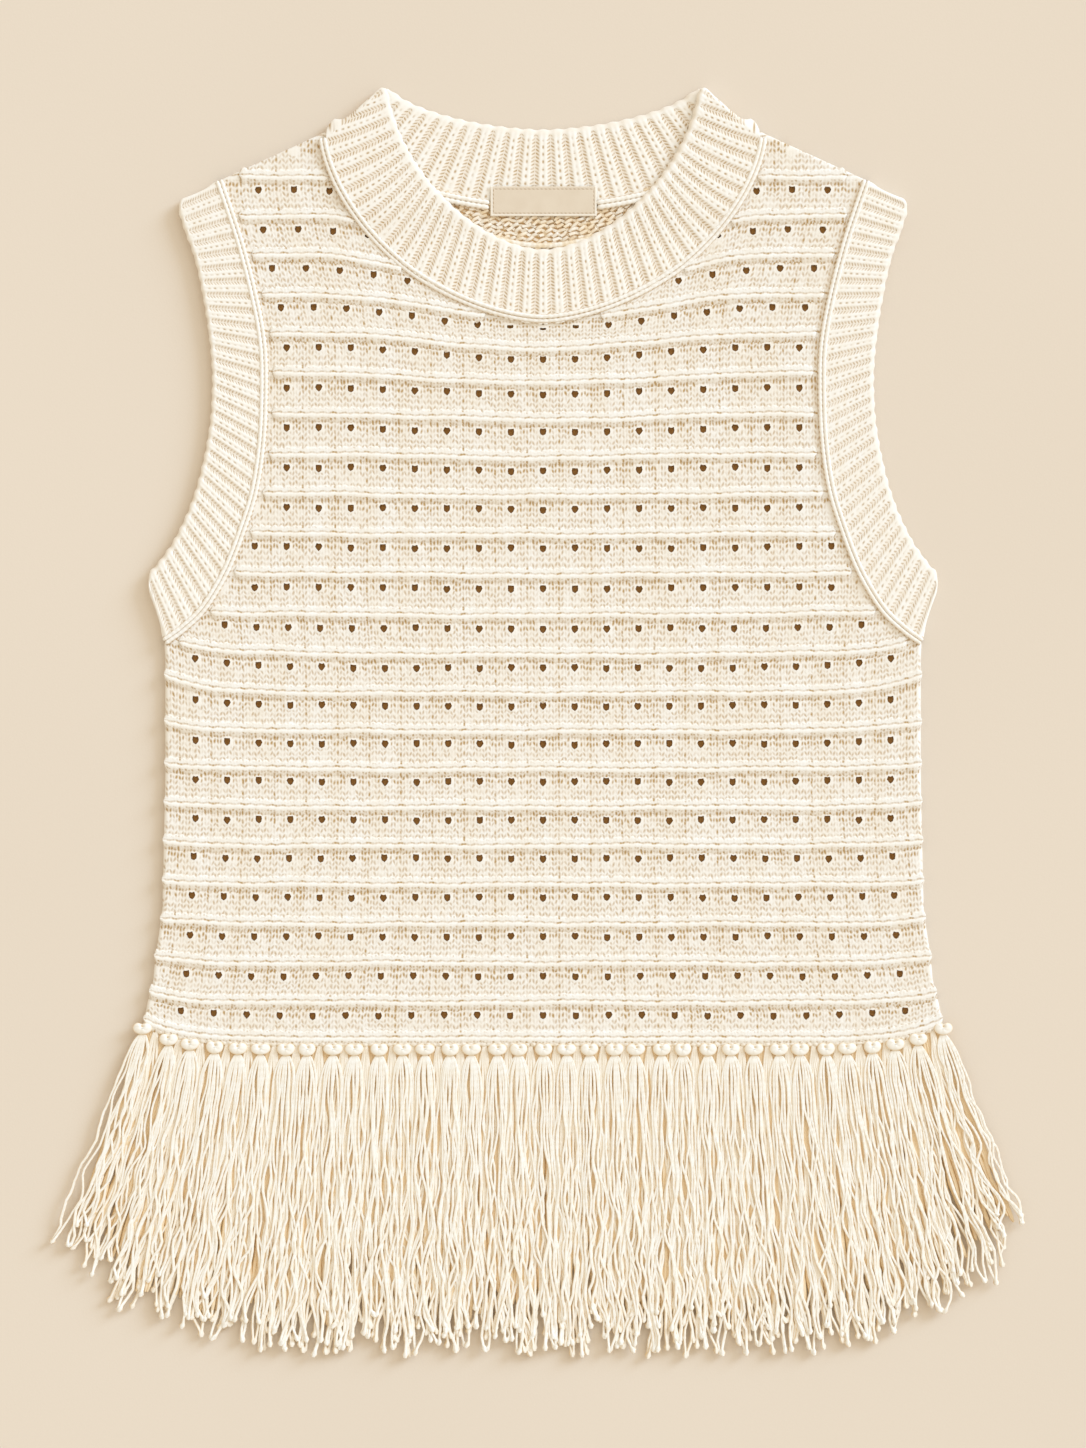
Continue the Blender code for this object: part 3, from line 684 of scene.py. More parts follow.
def closed(rings, u, v):
    """Rings of points, shaped (..., rings, round, 3), as tubes closed by fans at their ends."""
    faces, uv = skin(rings, u, v, around=True)
    index = np.arange(rings[..., 0].size).reshape(rings.shape[:-1])
    parts = [faces.reshape(-1, 3)]
    for ring, back_to_front in ((index[..., 0, :], True), (index[..., -1, :], False)):
        first = np.repeat(ring[..., :1], ring.shape[-1] - 2, -1)
        order = [first, ring[..., 1:-1], ring[..., 2:]]
        if back_to_front:
            order[1:] = order[:0:-1]
        parts.append(np.stack(order, -1).reshape(-1, 3))
    shape = index.shape[:-1] + (index.shape[-1] + 1,)
    places = np.stack([np.broadcast_to(values, shape) for values in (u, v)], -1)
    flat = places[..., :-1, :].reshape(-1, 2)
    uv = np.concatenate([uv.reshape(-1, 3, 2)] + [flat[part] for part in parts[1:]])
    return rings.reshape(-1, 3), np.concatenate(parts), uv


def rounded(share):
    """A quarter circle: 0 at 0, and 1 at 1."""
    return np.sqrt(1.0 - (1.0 - share) ** 2)


def welt(row, low_x, high_x, v_row):
    """One welt: its section carried along a row, with a small swelling at each stitch."""
    count = round((high_x - low_x) / WELT_STEP)
    x = np.linspace(low_x, high_x, count)
    stitch = STITCHES * x / pitch_at(row)
    slow = np.sin(WELT_SWELL["rate"] * stitch + WELT_SWELL["turn"] * row)
    swell = WELT_SWELL["stitch"] * np.cos(2 * np.pi * stitch) + WELT_SWELL["slow"] * slow
    left = np.minimum(np.minimum(x - low_x, high_x - x) / WELT_END, 1.0)
    size = (WELT_END_SIZE + (1.0 - WELT_END_SIZE) * rounded(left))[:, None]
    offset = (WELT_SECTION[:, 0] - WELT_CENTRE[0]) * size * (1.0 + swell)[:, None] + WELT_CENTRE[0]
    z = (WELT_SECTION[:, 1] - WELT_CENTRE[1]) * size * (1.0 + 0.5 * swell)[:, None] + WELT_CENTRE[1]
    places = x[:, None], row_y(row, x)[:, None] + offset, FRONT_TOP + z
    points = np.stack(np.broadcast_arrays(*places), -1)
    around = np.append(WELT_SECTION[:, 0], WELT_SECTION[0, 0])
    return closed(points, stitch[:, None], v_row + around / BAND)


parts = []
for row in WELT_ROW_Y + BAND * np.arange(WELTS):
    inner, outer = (float(ends[0]) for ends in row_ends(np.array([row]), "front_seam"))
    height = row_y(row, outer)
    reach = outer + (WELT_PAST_SIDE if height < UNDERARM_Y else -WELT_BEFORE_SEAM)
    v_row = (row - WELT_ROW_Y) / BAND
    if inner == 0.0:
        parts.append(welt(row, -reach, reach, v_row))
    else:
        for side in (-1.0, 1.0):
            ends = sorted((side * (inner + WELT_BEFORE_NECK), side * reach))
            parts.append(welt(row, *ends, v_row))
hem_reach = float(row_ends(np.array([HEM_CHAIN_Y]), "front_seam")[1][0]) + WELT_PAST_SIDE
parts.append(welt(HEM_CHAIN_Y, -hem_reach, hem_reach, -1.0))
welts = add_piece("front_welts", merged(parts), body_knit)

# Rib bands: two by two ribs knitted on at the neck and the armholes, folded flat at their ends.
# Each is a flattened ring, its front half over its back half.
RIB_RISE = 0.0006
NECKBAND = {"wall": 0.0032, "clearance": 0.0012, "ribs": (36, 24), "stitches": 22.0}
NECKBAND |= {"askew": 2.0, "bump": 1.0}
ARMBAND = {"wall": 0.0029, "clearance": 0.0003, "ribs": (31, 12), "stitches": 17.0}
ARMBAND |= {"askew": 0.0, "bump": 0.2}
NECKBAND_DROP = {"low": 0.280, "high": 0.306, "depth": 0.0017}
WIDTH_POINT = 48  # the point of its lines where a band's width is measured
STEPS_TO_RIB = 12
STEPS_HIDDEN = 3  # to a rib of a back half that doesn't show
FOLD_STEPS = 9
NECK_POINTS = 241
ACROSS = np.append(np.linspace(0.0, 0.9, 13), 1.0 - 0.1 * np.cos(np.linspace(0.5, 1.4, 6)))
SCALLOP = 0.00035
CORNER = {"depth": 0.0056, "reach": 0.0100, "seam": 0.4}  # how a fold's corners are rounded
ASKEW_FADES = (0.10, 0.32)  # the ribs of the front half run askew near its folds
FOLD_HOLLOW = 0.45
FOLD_BUMP = (0.12, 0.12)
ROUNDED = 1.1  # the free edge is rounded over this many thicknesses
VALLEY = {"half": 0.20, "soft": 0.10, "groove": 0.26, "groove_width": 0.055}
RIDGE = (0.25, 0.75)  # a ridge's two sides, as shares of a rib; a fold lies along a ridge
RIM = {"low": 0.89, "high": 0.97}  # share of the width where the valleys fill up


def smoothstep(values, low, high):
    share = np.clip((values - low) / (high - low), 0.0, 1.0)
    return share * share * (3.0 - 2.0 * share)


def by_length(points, shares):
    """Points at shares of the length of a line."""
    lengths = np.append(0.0, np.cumsum(np.linalg.norm(np.diff(points, axis=0), axis=1)))
    at = shares * lengths[-1]
    return np.stack([np.interp(at, lengths, points[:, axis]) for axis in range(2)], -1)


def rib_height(turns, across):
    """Height of the ribs, 0 to 1: ridges one turn apart, each with a groove along its middle."""
    aside = np.abs(np.mod(turns, 1.0) - 0.5)  # 0.5 in the middle of a valley
    low, high = VALLEY["half"] - VALLEY["soft"], VALLEY["half"] + VALLEY["soft"]
    ridge = smoothstep(0.5 - aside, low, high)
    groove = VALLEY["groove"] * np.exp(-((aside / VALLEY["groove_width"]) ** 2))
    rim = smoothstep(across, RIM["low"], RIM["high"])
    return ridge + (1.0 - ridge) * 0.75 * rim - groove * (1.0 - 0.7 * rim)


def band(facts, lines, inner_ribs, lift):
    """A ribbed band round `lines`, a (seam, edge) pair for its front half and for its back.

    Each place round it turns from +90 degrees on the front half to -90 on the back, and a
    section's points lie at their reach from the ring's mid-height.
    """
    wall, clearance = facts["wall"], facts["clearance"]
    inset = wall + 0.5 * clearance
    starts, ends, turns, ribs, away, askew = [], [], [], [], [], []
    count = 0
    for pair, number, side in zip(lines, facts["ribs"], (1.0, -1.0)):
        steps = STEPS_TO_RIB if side > 0.0 or inner_ribs else STEPS_HIDDEN
        mean = np.mean([np.linalg.norm(np.diff(line, axis=0), axis=1).sum() for line in pair])
        shares = np.linspace(inset / mean, 1.0 - inset / mean, number * steps + 1)
        seam, edge = (by_length(line, shares) for line in pair)
        fold = np.linspace(side, -side, FOLD_STEPS + 2)[1:-1]
        other = lines[1] if side > 0.0 else lines[0]
        other_mean = np.mean([np.linalg.norm(np.diff(l, axis=0), axis=1).sum() for l in other])
        far = [by_length(line, np.array([inset / other_mean])) for line in other]
        tip = np.array([line[-1] for line in pair])
        near = np.stack([seam[-1], edge[-1]])
        far = np.stack([line[0] for line in far])
        blend = (0.5 + 0.5 * side * fold)[:, None, None]
        starts += [np.stack([seam, edge], 1), blend * near + (1.0 - blend) * far]
        ends += [np.stack([seam, edge], 1), np.broadcast_to(tip, (FOLD_STEPS, 2, 2))]
        turns += [np.full(len(shares), side), fold]
        first, last = count + RIDGE[1], count + number + RIDGE[0]
        folded = np.linspace(last, count + number + RIDGE[1], FOLD_STEPS + 2)[1:-1]
        ribs += [np.linspace(first, last, len(shares)), folded]
        away += [np.minimum(shares, 1.0 - shares) * mean, inset * (1.0 - np.cos(0.5 * np.pi * fold))]
        near = 1.0 - smoothstep(np.minimum(shares, 1.0 - shares), *ASKEW_FADES)
        askew += [near * np.sign(shares - 0.5) * (side > 0.0), side * (0.5 + 0.5 * fold)]
        count += number
    start, end = (np.concatenate(parts)[:, None] for parts in (starts, ends))
    turn, rib, away, askew = (np.concatenate(p)[:, None] for p in (turns, ribs, away, askew))
    back_across = ACROSS[::-1] if inner_ribs else ACROSS[::-4]
    across = np.concatenate([ACROSS, [1.0], back_across])
    face = np.concatenate([np.ones(len(ACROSS)), [0.0], -np.ones(len(back_across))])
    width = np.linalg.norm(lines[0][0][WIDTH_POINT] - lines[0][1][WIDTH_POINT])
    at_edge = np.clip((across - 1.0) * width / (ROUNDED * wall) + 1.0, 0.0, 1.0)
    face = face * np.sqrt(1.0 - 0.96 * at_edge**2)
    shown = np.where(face > 0.0, turn > -0.5, turn < -0.5) & (inner_ribs | (face > 0.0))
    rib = rib + facts["askew"] * askew * across
    height = rib_height(rib, across) * RIB_RISE * shown * np.abs(turn) ** 0.5
    reach = 0.5 * (wall + clearance) + face * (0.5 * wall + height)
    angle = 0.5 * np.pi * turn
    scallop = SCALLOP / width * np.cos(2.0 * np.pi * rib) * smoothstep(across, 0.85, 1.0)
    near = np.clip(1.0 - away / CORNER["reach"], 0.0, 1.0)
    corner = CORNER["depth"] / width * (1.0 - np.sqrt(1.0 - near**2))
    spread = (across - scallop - corner * (across - CORNER["seam"] * (1.0 - across)))[..., None]
    begin = start[..., 0, :] + (start[..., 1, :] - start[..., 0, :]) * spread
    finish = end[..., 0, :] + (end[..., 1, :] - end[..., 0, :]) * spread
    pull = np.minimum(1.0, reach * np.cos(angle) / inset)[..., None]
    bulge = facts["bump"] * np.exp(-(((across - FOLD_BUMP[0]) / FOLD_BUMP[1]) ** 2))
    bulge = bulge - FOLD_HOLLOW * np.sin(np.pi * across)
    pull = pull * (1.0 + bulge * np.cos(angle) ** 2)[..., None]
    place = begin + (finish - begin) * pull
    z = inset + reach * np.sin(angle)
    if lift:
        z = z - lift(place[..., 1]) * (turn > 0.5)
    points = np.concatenate([place, z[..., None]], -1)
    u = np.vstack([rib, rib[:1] + count])
    u = np.hstack([u, u[:, :1]])
    v = np.append(across, across[0]) * facts["stitches"]
    faces, uv = skin(points, u, v, around=True, along=True)
    return points.reshape(-1, 3), faces.reshape(-1, 3), uv.reshape(-1, 3, 2)


def rib_material(name, stitches, strength):
    """Cream two by two rib. u counts ribs, with a valley at each whole number, v stitches."""
    material, shader, tree, uv, u, v = yarn(name, KNIT_ROUGHNESS)
    across = v / stitches
    aside = abs((u + 0.5).frac() - 0.5)  # 0 in a valley, 0.5 on a ridge
    half = 0.25 * (1.0 - across.ramp(0.86, 0.98))
    valley = 1.0 - (aside - half).ramp(-0.09, 0.06)
    uneven = tree.chance(u.floor(), v.floor())
    # Painted shade in the valleys: slanted tan marks, and dots along each ridge's groove
    slanted = ((v + 2.6 * aside).frac() - 0.5).bell(0.40) * aside.ramp(0.01, 0.05)
    marks = valley * slanted * (0.45 + 0.55 * uneven[2])
    row = (0.5 * v + tree.chance(u.floor(), 2.0)[0]).frac() - 0.5
    dots = (aside - 0.5).bell(0.11) * row.bell(0.40) * uneven[1].ramp(-0.2, 0.6)
    dots = dots * (1.0 - across.ramp(0.80, 0.92))
    tone = tree.noise(uv, 0.6, 2.0).ramp(*TONE)
    cream = tone.mix(CREAM_WARM, CREAM)
    # Painted shade: darker in the valleys and along the rounded free edge
    tint = (0.27 * strength * valley).most(0.22 * across.ramp(0.92, 0.98))
    colour = (strength * marks.most(dots)).mix(tint.mix(cream, SHADE_TAN), GAP_SHADE_TAN)
    wire(shader, colour, -0.5 * marks - 0.6 * dots, KNIT_BUMP)
    return material


def neck_line(name):
    """Points along a neck curve from left to right, closer at its steep ends."""
    half_width = NECK[name][0]
    x = half_width * np.sin(np.linspace(-0.5 * np.pi, 0.5 * np.pi, NECK_POINTS))
    return np.stack([x, neck_y(name, x)], -1)


def neckband_drop(y):
    """How much lower the neckband's front half lies where no back half is under it."""
    return NECKBAND_DROP["depth"] * (1.0 - smoothstep(y, NECKBAND_DROP["low"], NECKBAND_DROP["high"]))


neck_front = [neck_line("front_seam"), neck_line("front_edge")]
neck_back = [neck_line("back_seam")[::-1], neck_line("back_edge")[::-1]]
# The last number sets how strong a band's painted shade is.
neck_rib = rib_material("neck_rib", NECKBAND["stitches"], 0.95)
neck_shape = band(NECKBAND, (neck_front, neck_back), True, neckband_drop)
neckband = add_piece("neckband_rib", neck_shape, neck_rib, ["neckband"])
arm_rib = rib_material("arm_rib", ARMBAND["stitches"], 0.72)
for name, side in (("left", 1.0), ("right", -1.0)):
    lines = [ARMHOLE_SEAM * (side, 1.0), ARMHOLE_EDGE * (side, 1.0)]
    back_lines = [line[::-1] for line in lines]
    shape = band(ARMBAND, (lines, back_lines), False, None)
    nodes = [f"armband_{name}"]
    add_piece(f"armband_{name}_rib", shape, arm_rib, nodes)

# Seams: the bands are joined on by two cords of chain stitch side by side, over the armhole and
# neck seams of the front and over the neck seam inside the back.
CORD_RADIUS = 0.00155
CORD_SIDES = 8
CORD_STEP = 0.00103
CORD_STITCH = 0.0031
CORD_APART = 0.00240
CORD_SHORT = 0.0026  # the neck cords end this far below the shoulder
CORD_SWELL = 0.10
CORD_END_SIZE = 0.2
CORD_TWIST = 0.0062
CORD_BUMP = 0.00018
ARM_CORDS = ((-0.5, 0.0055), (0.5, 0.0057))  # side, height
NECK_CORD_SIDES = ((0.5, 0.0012), (-0.5, 0.0006))  # side, depth below the band's rim
PATCH = 160.0  # scale of the noise that makes a yarn paler and darker
FIBRE = 2500.0  # and of the one for its fibres
NECK_CORDS = np.array(  # height, way outwards, height above the band's rim
    ((0.2332, -0.0030, 0.0010), (0.2650, 0.0, 0.0), (0.3448, 0.0015, 0.0))
)
INSIDE_CORDS = {"radius": 0.0018, "apart": 0.0028, "from": 0.0303, "to": 0.088, "height": 0.0040}
UP = np.array((0.0, 0.0, 1.0))


def tubes(paths, radius, sides, stretch=1.0):
    """Closed tubes round paths shaped (..., rings, 3): rings of points square to each path."""
    ahead = np.gradient(paths, axis=-2)
    ahead /= np.linalg.norm(ahead, axis=-1, keepdims=True)
    side = np.cross(ahead, UP)
    side /= np.linalg.norm(side, axis=-1, keepdims=True)
    above = np.cross(side, ahead)
    angle = 2.0 * np.pi * np.arange(sides) / sides
    way = np.cos(angle)[:, None] * side[..., None, :] + np.sin(angle)[:, None] * above[..., None, :]
    rings = paths[..., None, :] + radius[..., None, None] * way
    steps = np.linalg.norm(np.diff(paths, axis=-2), axis=-1)
    length = np.concatenate([np.zeros_like(steps[..., :1]), np.cumsum(steps, -1)], -1)
    return closed(rings, np.arange(sides + 1) / sides, length[..., None] * stretch)


def cord(line, offset, height, thick=CORD_RADIUS):
    """A cord of chain stitch beside a line: it swells at each stitch, and its ends are round.

    `offset` and `height` are functions of the line's y, or one number.
    """
    total = np.linalg.norm(np.diff(line, axis=0), axis=1).sum()
    count = round(total / CORD_STEP)
    points = by_length(line, np.linspace(0.0, 1.0, count))
    ahead = np.gradient(points, axis=0)
    ahead /= np.linalg.norm(ahead, axis=1, keepdims=True)
    aside, z = (value(points[:, 1]) if callable(value) else value for value in (offset, height))
    points = points + np.reshape(aside, (-1, 1)) * ahead[:, ::-1] * (1.0, -1.0)
    at = np.linspace(0.0, total, count)
    swell = 1.0 + CORD_SWELL * np.cos(2.0 * np.pi * at / CORD_STITCH)
    left = np.minimum(np.minimum(at, total - at) / thick, 1.0)
    radius = thick * swell * (CORD_END_SIZE + (1.0 - CORD_END_SIZE) * rounded(left))
    z = np.broadcast_to(z, (count,))[:, None]
    return tubes(np.concatenate([points, z], 1), radius, CORD_SIDES)


def cord_material(name, creams, tint, mark):
    """Cream cords sewn on side by side, with tan stitches in the furrows beside them.

    u goes once round a cord from its side, and v is the length along it in metres. The tan
    in the furrows is painted shade, darker in dashes at the stitches.
    """
    material, shader, tree, _, u, v = yarn(name, YARN_ROUGHNESS)
    place = tree.here()
    tone = tree.noise(place, PATCH).ramp(*TONE)
    # Painted shade in the furrows beside each cord, darker in stitch-length dashes
    furrow = abs((2.0 * u).frac() - 0.5).ramp(0.14, 0.38)
    stitch = (v / CORD_STITCH).frac() - 0.5
    chance = tree.chance((v / CORD_STITCH).floor(), 5.0)[0]
    run = 0.15 + 0.85 * stitch.bell(0.40) * chance.ramp(-0.3, 0.4)
    twist = ((u + v / CORD_TWIST) * (2.0 * np.pi)).sin()
    cream = (0.8 * tone + 0.1 * twist + 0.1).mix(*creams)
    colour = (mark * furrow * run).mix((tint * furrow).mix(cream, SHADE_TAN), GAP_SHADE_TAN)
    wire(shader, colour, 0.3 * twist - 0.5 * furrow + 0.3 * tree.noise(place, FIBRE), CORD_BUMP)
    return material


# The last two numbers: how strong the painted shade is along the furrows and in the dashes.
cord_yarn = cord_material("cord_yarn", (CREAM_WARM, CREAM), 0.40, 0.90)
band_top = NECKBAND["clearance"] + 2.0 * NECKBAND["wall"]
parts = []
for side in (-1.0, 1.0):
    for offset, height in ARM_CORDS:
        parts.append(cord(ARMHOLE_SEAM * (side, 1.0), -side * offset * CORD_APART, height))
seam = neck_line("front_seam")
seam = seam[seam[:, 1] < NECK["front_seam"][2] - CORD_SHORT]
for outwards, lower in NECK_CORD_SIDES:
    parts.append(
        cord(
            seam,
            lambda y, k=outwards: k * CORD_APART + np.interp(y, NECK_CORDS[:, 0], NECK_CORDS[:, 1]),
            lambda y, low=lower: band_top - neckband_drop(y) - low
            + np.interp(y, NECK_CORDS[:, 0], NECK_CORDS[:, 2]),
        )
    )
inside = neck_line("back_seam")
inside = inside[(inside[:, 0] > INSIDE_CORDS["from"]) & (inside[:, 0] < INSIDE_CORDS["to"])]
for side in (-1.0, 1.0):
    for offset in (-0.5, 0.5):
        reach = offset * INSIDE_CORDS["apart"]
        line = inside * (side, 1.0)
        parts.append(cord(line, reach, INSIDE_CORDS["height"], INSIDE_CORDS["radius"]))
cords = add_piece("seam_cords", merged(parts), cord_yarn)

# Inside of the back: below its neck seam the wrong side of the knitting shows, in rows of
# round loops of yarn, with one welt rolled across it. All are knitted in one with the back.
INSIDE_ROWS = {"low": 0.2775, "high": 0.3010, "apart": 0.00255, "half_width": 0.078, "z": 0.0023}
INSIDE_LOOP = {"length": 0.0054, "height": 0.00105, "radius": 0.00138, "slant": 0.0009}
INSIDE_LOOP |= {"rise": 0.0005, "sides": 6, "steps": 216}
INSIDE_WAVES = ((1.3, 0.0087, 900.0), (0.9, 0.0052, -1500.0))
INSIDE_SIZES = ((0.5, 0.0031, 700.0),)
# Painted shade: the inside loops are a darker, tan copy of the cream yarn, inside the neck opening
INSIDE_SHADE_CREAM = (0.840, 0.690, 0.480, 1.0)
INSIDE_CURVE = 3.0  # a row rises by this much times x squared
INSIDE_WELT = {"y": 0.2790, "curve": 5.9, "half_width": 0.045, "z": 0.0032, "radius": 0.0019}
INSIDE_WELT |= {"steps": 90, "swell": 0.12}

row = np.arange(INSIDE_ROWS["low"], INSIDE_ROWS["high"], INSIDE_ROWS["apart"])[:, None]
x = np.linspace(-INSIDE_ROWS["half_width"], INSIDE_ROWS["half_width"], INSIDE_LOOP["steps"])
x = x + 0.0 * row
phase = 2.0 * np.pi * x / INSIDE_LOOP["length"] + np.pi * np.arange(len(row))[:, None]
phase = phase + 1.5 * waves(INSIDE_WAVES, x, row)
size = 1.0 + waves(INSIDE_SIZES, x, row)
y = row + INSIDE_CURVE * x**2 + INSIDE_LOOP["height"] * size * np.sin(phase)
x = x + INSIDE_LOOP["slant"] * np.sin(2.0 * phase)
z = INSIDE_ROWS["z"] + INSIDE_LOOP["rise"] * np.cos(phase)
z = z + 0.0003 * np.cos(1.7 * phase + 40.0 * row)
thick = np.full(x.shape, INSIDE_LOOP["radius"])
rows = tubes(np.stack([x, y, z], -1), thick, INSIDE_LOOP["sides"])
x = np.linspace(-INSIDE_WELT["half_width"], INSIDE_WELT["half_width"], INSIDE_WELT["steps"])
y = INSIDE_WELT["y"] + INSIDE_WELT["curve"] * x**2
line = np.stack([x, y, np.full(x.shape, INSIDE_WELT["z"])], -1)
swell = 1.0 + INSIDE_WELT["swell"] * np.sin(2.0 * np.pi * x / CORD_STITCH)
roll = tubes(line, INSIDE_WELT["radius"] * swell, CORD_SIDES)
# With strong painted shade along the furrows between the loops.
inside_yarn = cord_material("inside_yarn", (INSIDE_SHADE_CREAM, CREAM_WARM), 0.9, 0.35)
inside_rows = add_piece("inside_loops", merged([rows, roll]), inside_yarn)

# Label: a blank woven label sewn flat over the seam inside the back neck by small stitches
# round its border.
LABEL_SIZE = (0.0618, 0.0174, 0.0007)
LABEL_CENTRE = (0.0003, 0.3047, 0.00480)
LABEL_ROUND = 0.0004
LABEL_BORDER = 0.0017
LABEL_STITCH = 0.0024
LABEL_FURROW = 0.00050
LABEL_RIM_WIDTH = (0.0010, 0.0014)
LABEL_THREADS = 9000.0
LABEL_PATCH = 90.0
LABEL_BUMP = 0.00015
LABEL_CLOTH = (0.765, 0.662, 0.528, 1.0)
LABEL_DARK = (0.470, 0.330, 0.190, 1.0)
LABEL_RIM = (0.900, 0.830, 0.720, 1.0)

label_material, label_shader, tree = principled("label_weave", 0.75, 0.05)
x, y, _ = tree.here().parts()
from_side = 0.5 * LABEL_SIZE[0] - abs(x - LABEL_CENTRE[0])
from_end = 0.5 * LABEL_SIZE[1] - abs(y - LABEL_CENTRE[1])
border = from_side.math("MINIMUM", from_side, from_end)
run = (((x + y) / LABEL_STITCH).frac() - 0.5).bell(0.46)
furrow = (border - LABEL_BORDER).bell(LABEL_FURROW)
stitches = furrow * (0.20 + 0.80 * run)
below = y - (LABEL_CENTRE[1] - 0.5 * LABEL_SIZE[1])
rim = 1.0 - from_side.math("MINIMUM", from_side, below).ramp(*LABEL_RIM_WIDTH)
weave = (x * LABEL_THREADS).sin() * (y * LABEL_THREADS).sin()
mottle = tree.noise(tree.vector(x, y), LABEL_PATCH, 2.0).ramp(*TONE)
cloth = (0.85 * stitches + 0.10 * mottle).mix(rim.mix(LABEL_CLOTH, LABEL_RIM), LABEL_DARK)
wire(label_shader, cloth, 0.2 * weave - stitches + rim, LABEL_BUMP)
label_mesh = bpy.data.meshes.new("label_blank")
signs = ((-1, -1), (1, -1), (1, 1), (-1, 1))
levels = ((0.0, -0.5), (0.0, 0.5 - LABEL_ROUND / LABEL_SIZE[2]), (LABEL_ROUND, 0.5))
points = [
    (
        LABEL_CENTRE[0] + sx * (0.5 * LABEL_SIZE[0] - inset),
        LABEL_CENTRE[1] + sy * (0.5 * LABEL_SIZE[1] - inset),
        LABEL_CENTRE[2] + level * LABEL_SIZE[2],
    )
    for inset, level in levels
    for sx, sy in signs
]
faces = [(3, 2, 1, 0), (8, 9, 10, 11)]
for ring in (0, 4):
    faces += [(ring + k, ring + (k + 1) % 4, ring + 4 + (k + 1) % 4, ring + 4 + k) for k in range(4)]
label_mesh.from_pydata(points, [], faces)
label_box = place_mesh(label_mesh, label_material, ["label"])

# Fringe: tassels of cotton yarn pulled through the hem in lark's head loops, front and back.
# Each is a bundle of strands that leaves its loop in a dome, spreads and tangles downwards.
TASSEL_PITCH = 0.01365
TASSEL_UNEVEN = 0.0008
LOOP_DROP = 0.0034  # a loop's middle below the hem
TIP_Y = -0.3685
TIP_LIFT = {"height": 0.0640, "power": 7}
LEAN = {"reach": 0.0395, "power": 2.2}
DOME = {"depth": 0.0155, "power": 0.72, "flare_depth": 0.045}
SPREAD = {"even": 0.0018, "stray": 0.0052}
STRAND_WAVES = ((0.0042, 2.4), (0.0018, 5.0), (0.0005, 10.0))  # reach, waves to a strand
FORK = 8  # the strands of a pair meet at their tip, with this power of s
BEAD = 0.0110  # share of a strand that is its frayed tip
SHORTER = {"chance": 0.15, "by": 0.06}  # some pairs of strands
RANK_STRAY = 0.10
RADIUS_RANGE = (0.85, 1.10)
ROOT_SIZE = 0.6
FLOOR_GAP = 0.0001
RIPPLE = {"height": 0.0005, "cycles": 3.0}
PLY = 0.0034
YARN_BUMP = 0.00012
# Painted shade on the strands' sides and on deeper layers
FRINGE_SHADE_TAN = (0.755, 0.525, 0.235, 1.0)
FRINGE_CREAM = (0.885, 0.870, 0.825, 1.0)
FRINGE_WARM = (0.865, 0.825, 0.740, 1.0)
# Painted light: the yarn glows faintly, standing in for light passing through it
FRINGE_GLOW = {"colour": (1.0, 0.68, 0.32, 1.0), "strength": 0.04}  # light through the yarn
FRINGES = {  # facts of the front's upper layer, of its lower one and of the back's
    "name": ("fringe_front_upper", "fringe_front_lower", "fringe_back_strands"),
    "nodes": (["fringe_front"], [], ["fringe_back"]),
    # shade: how much painted shade a layer has from its depth in the fringe
    "shade": (0.0, 1.0, 2.0),
    "seed": (3, 5, 8),
    "tassels": (35, 34, 34),
    "strands": (10, 10, 14),
    "rings": (42, 38, 32),
    "sides": (6, 5, 5),
    "radius": (0.00080, 0.00095, 0.00195),
    "taper": (-0.15, 0.0, 0.45),
    "tip": ((1.95, 1.1), (1.95, 1.1), (0.8, 0.5)),  # swelling of the last two rings
    "start": (-0.0030, 0.0046, 0.0052),  # above the middle of the loops
    "root_z": (0.0046, 0.0041, 0.0023),
    "tip_z": (0.0035, 0.0030, 0.0020),
    "crown": (0.0007, 0.0002, 0.0),  # the middle of a dome stands this much above its sides
    "neck": (0.0008, 0.0001, 0.0061),  # half width at the loop
    "arch": (0.0050, 0.0005, 0.0),  # what the dome adds to it
    "flare": (0.0008, 0.0046, 0.0008),  # and what is added below the dome
    "loose": (1.0, 1.0, 0.25),  # share of the waves and the straying
    "forked": (1.0, 1.0, 0.0),
    "reach": (1.0, 1.0, 0.90),  # share of the full length
    "short": (0.105, 0.115, 0.13),  # strands are up to this share shorter
}


def tassel_x(count):
    """Places of the tassels along the hem, a little uneven."""
    step = np.arange(count) - 0.5 * (count - 1)
    return step * TASSEL_PITCH + TASSEL_UNEVEN * np.sin(2.7 * step + 0.4)


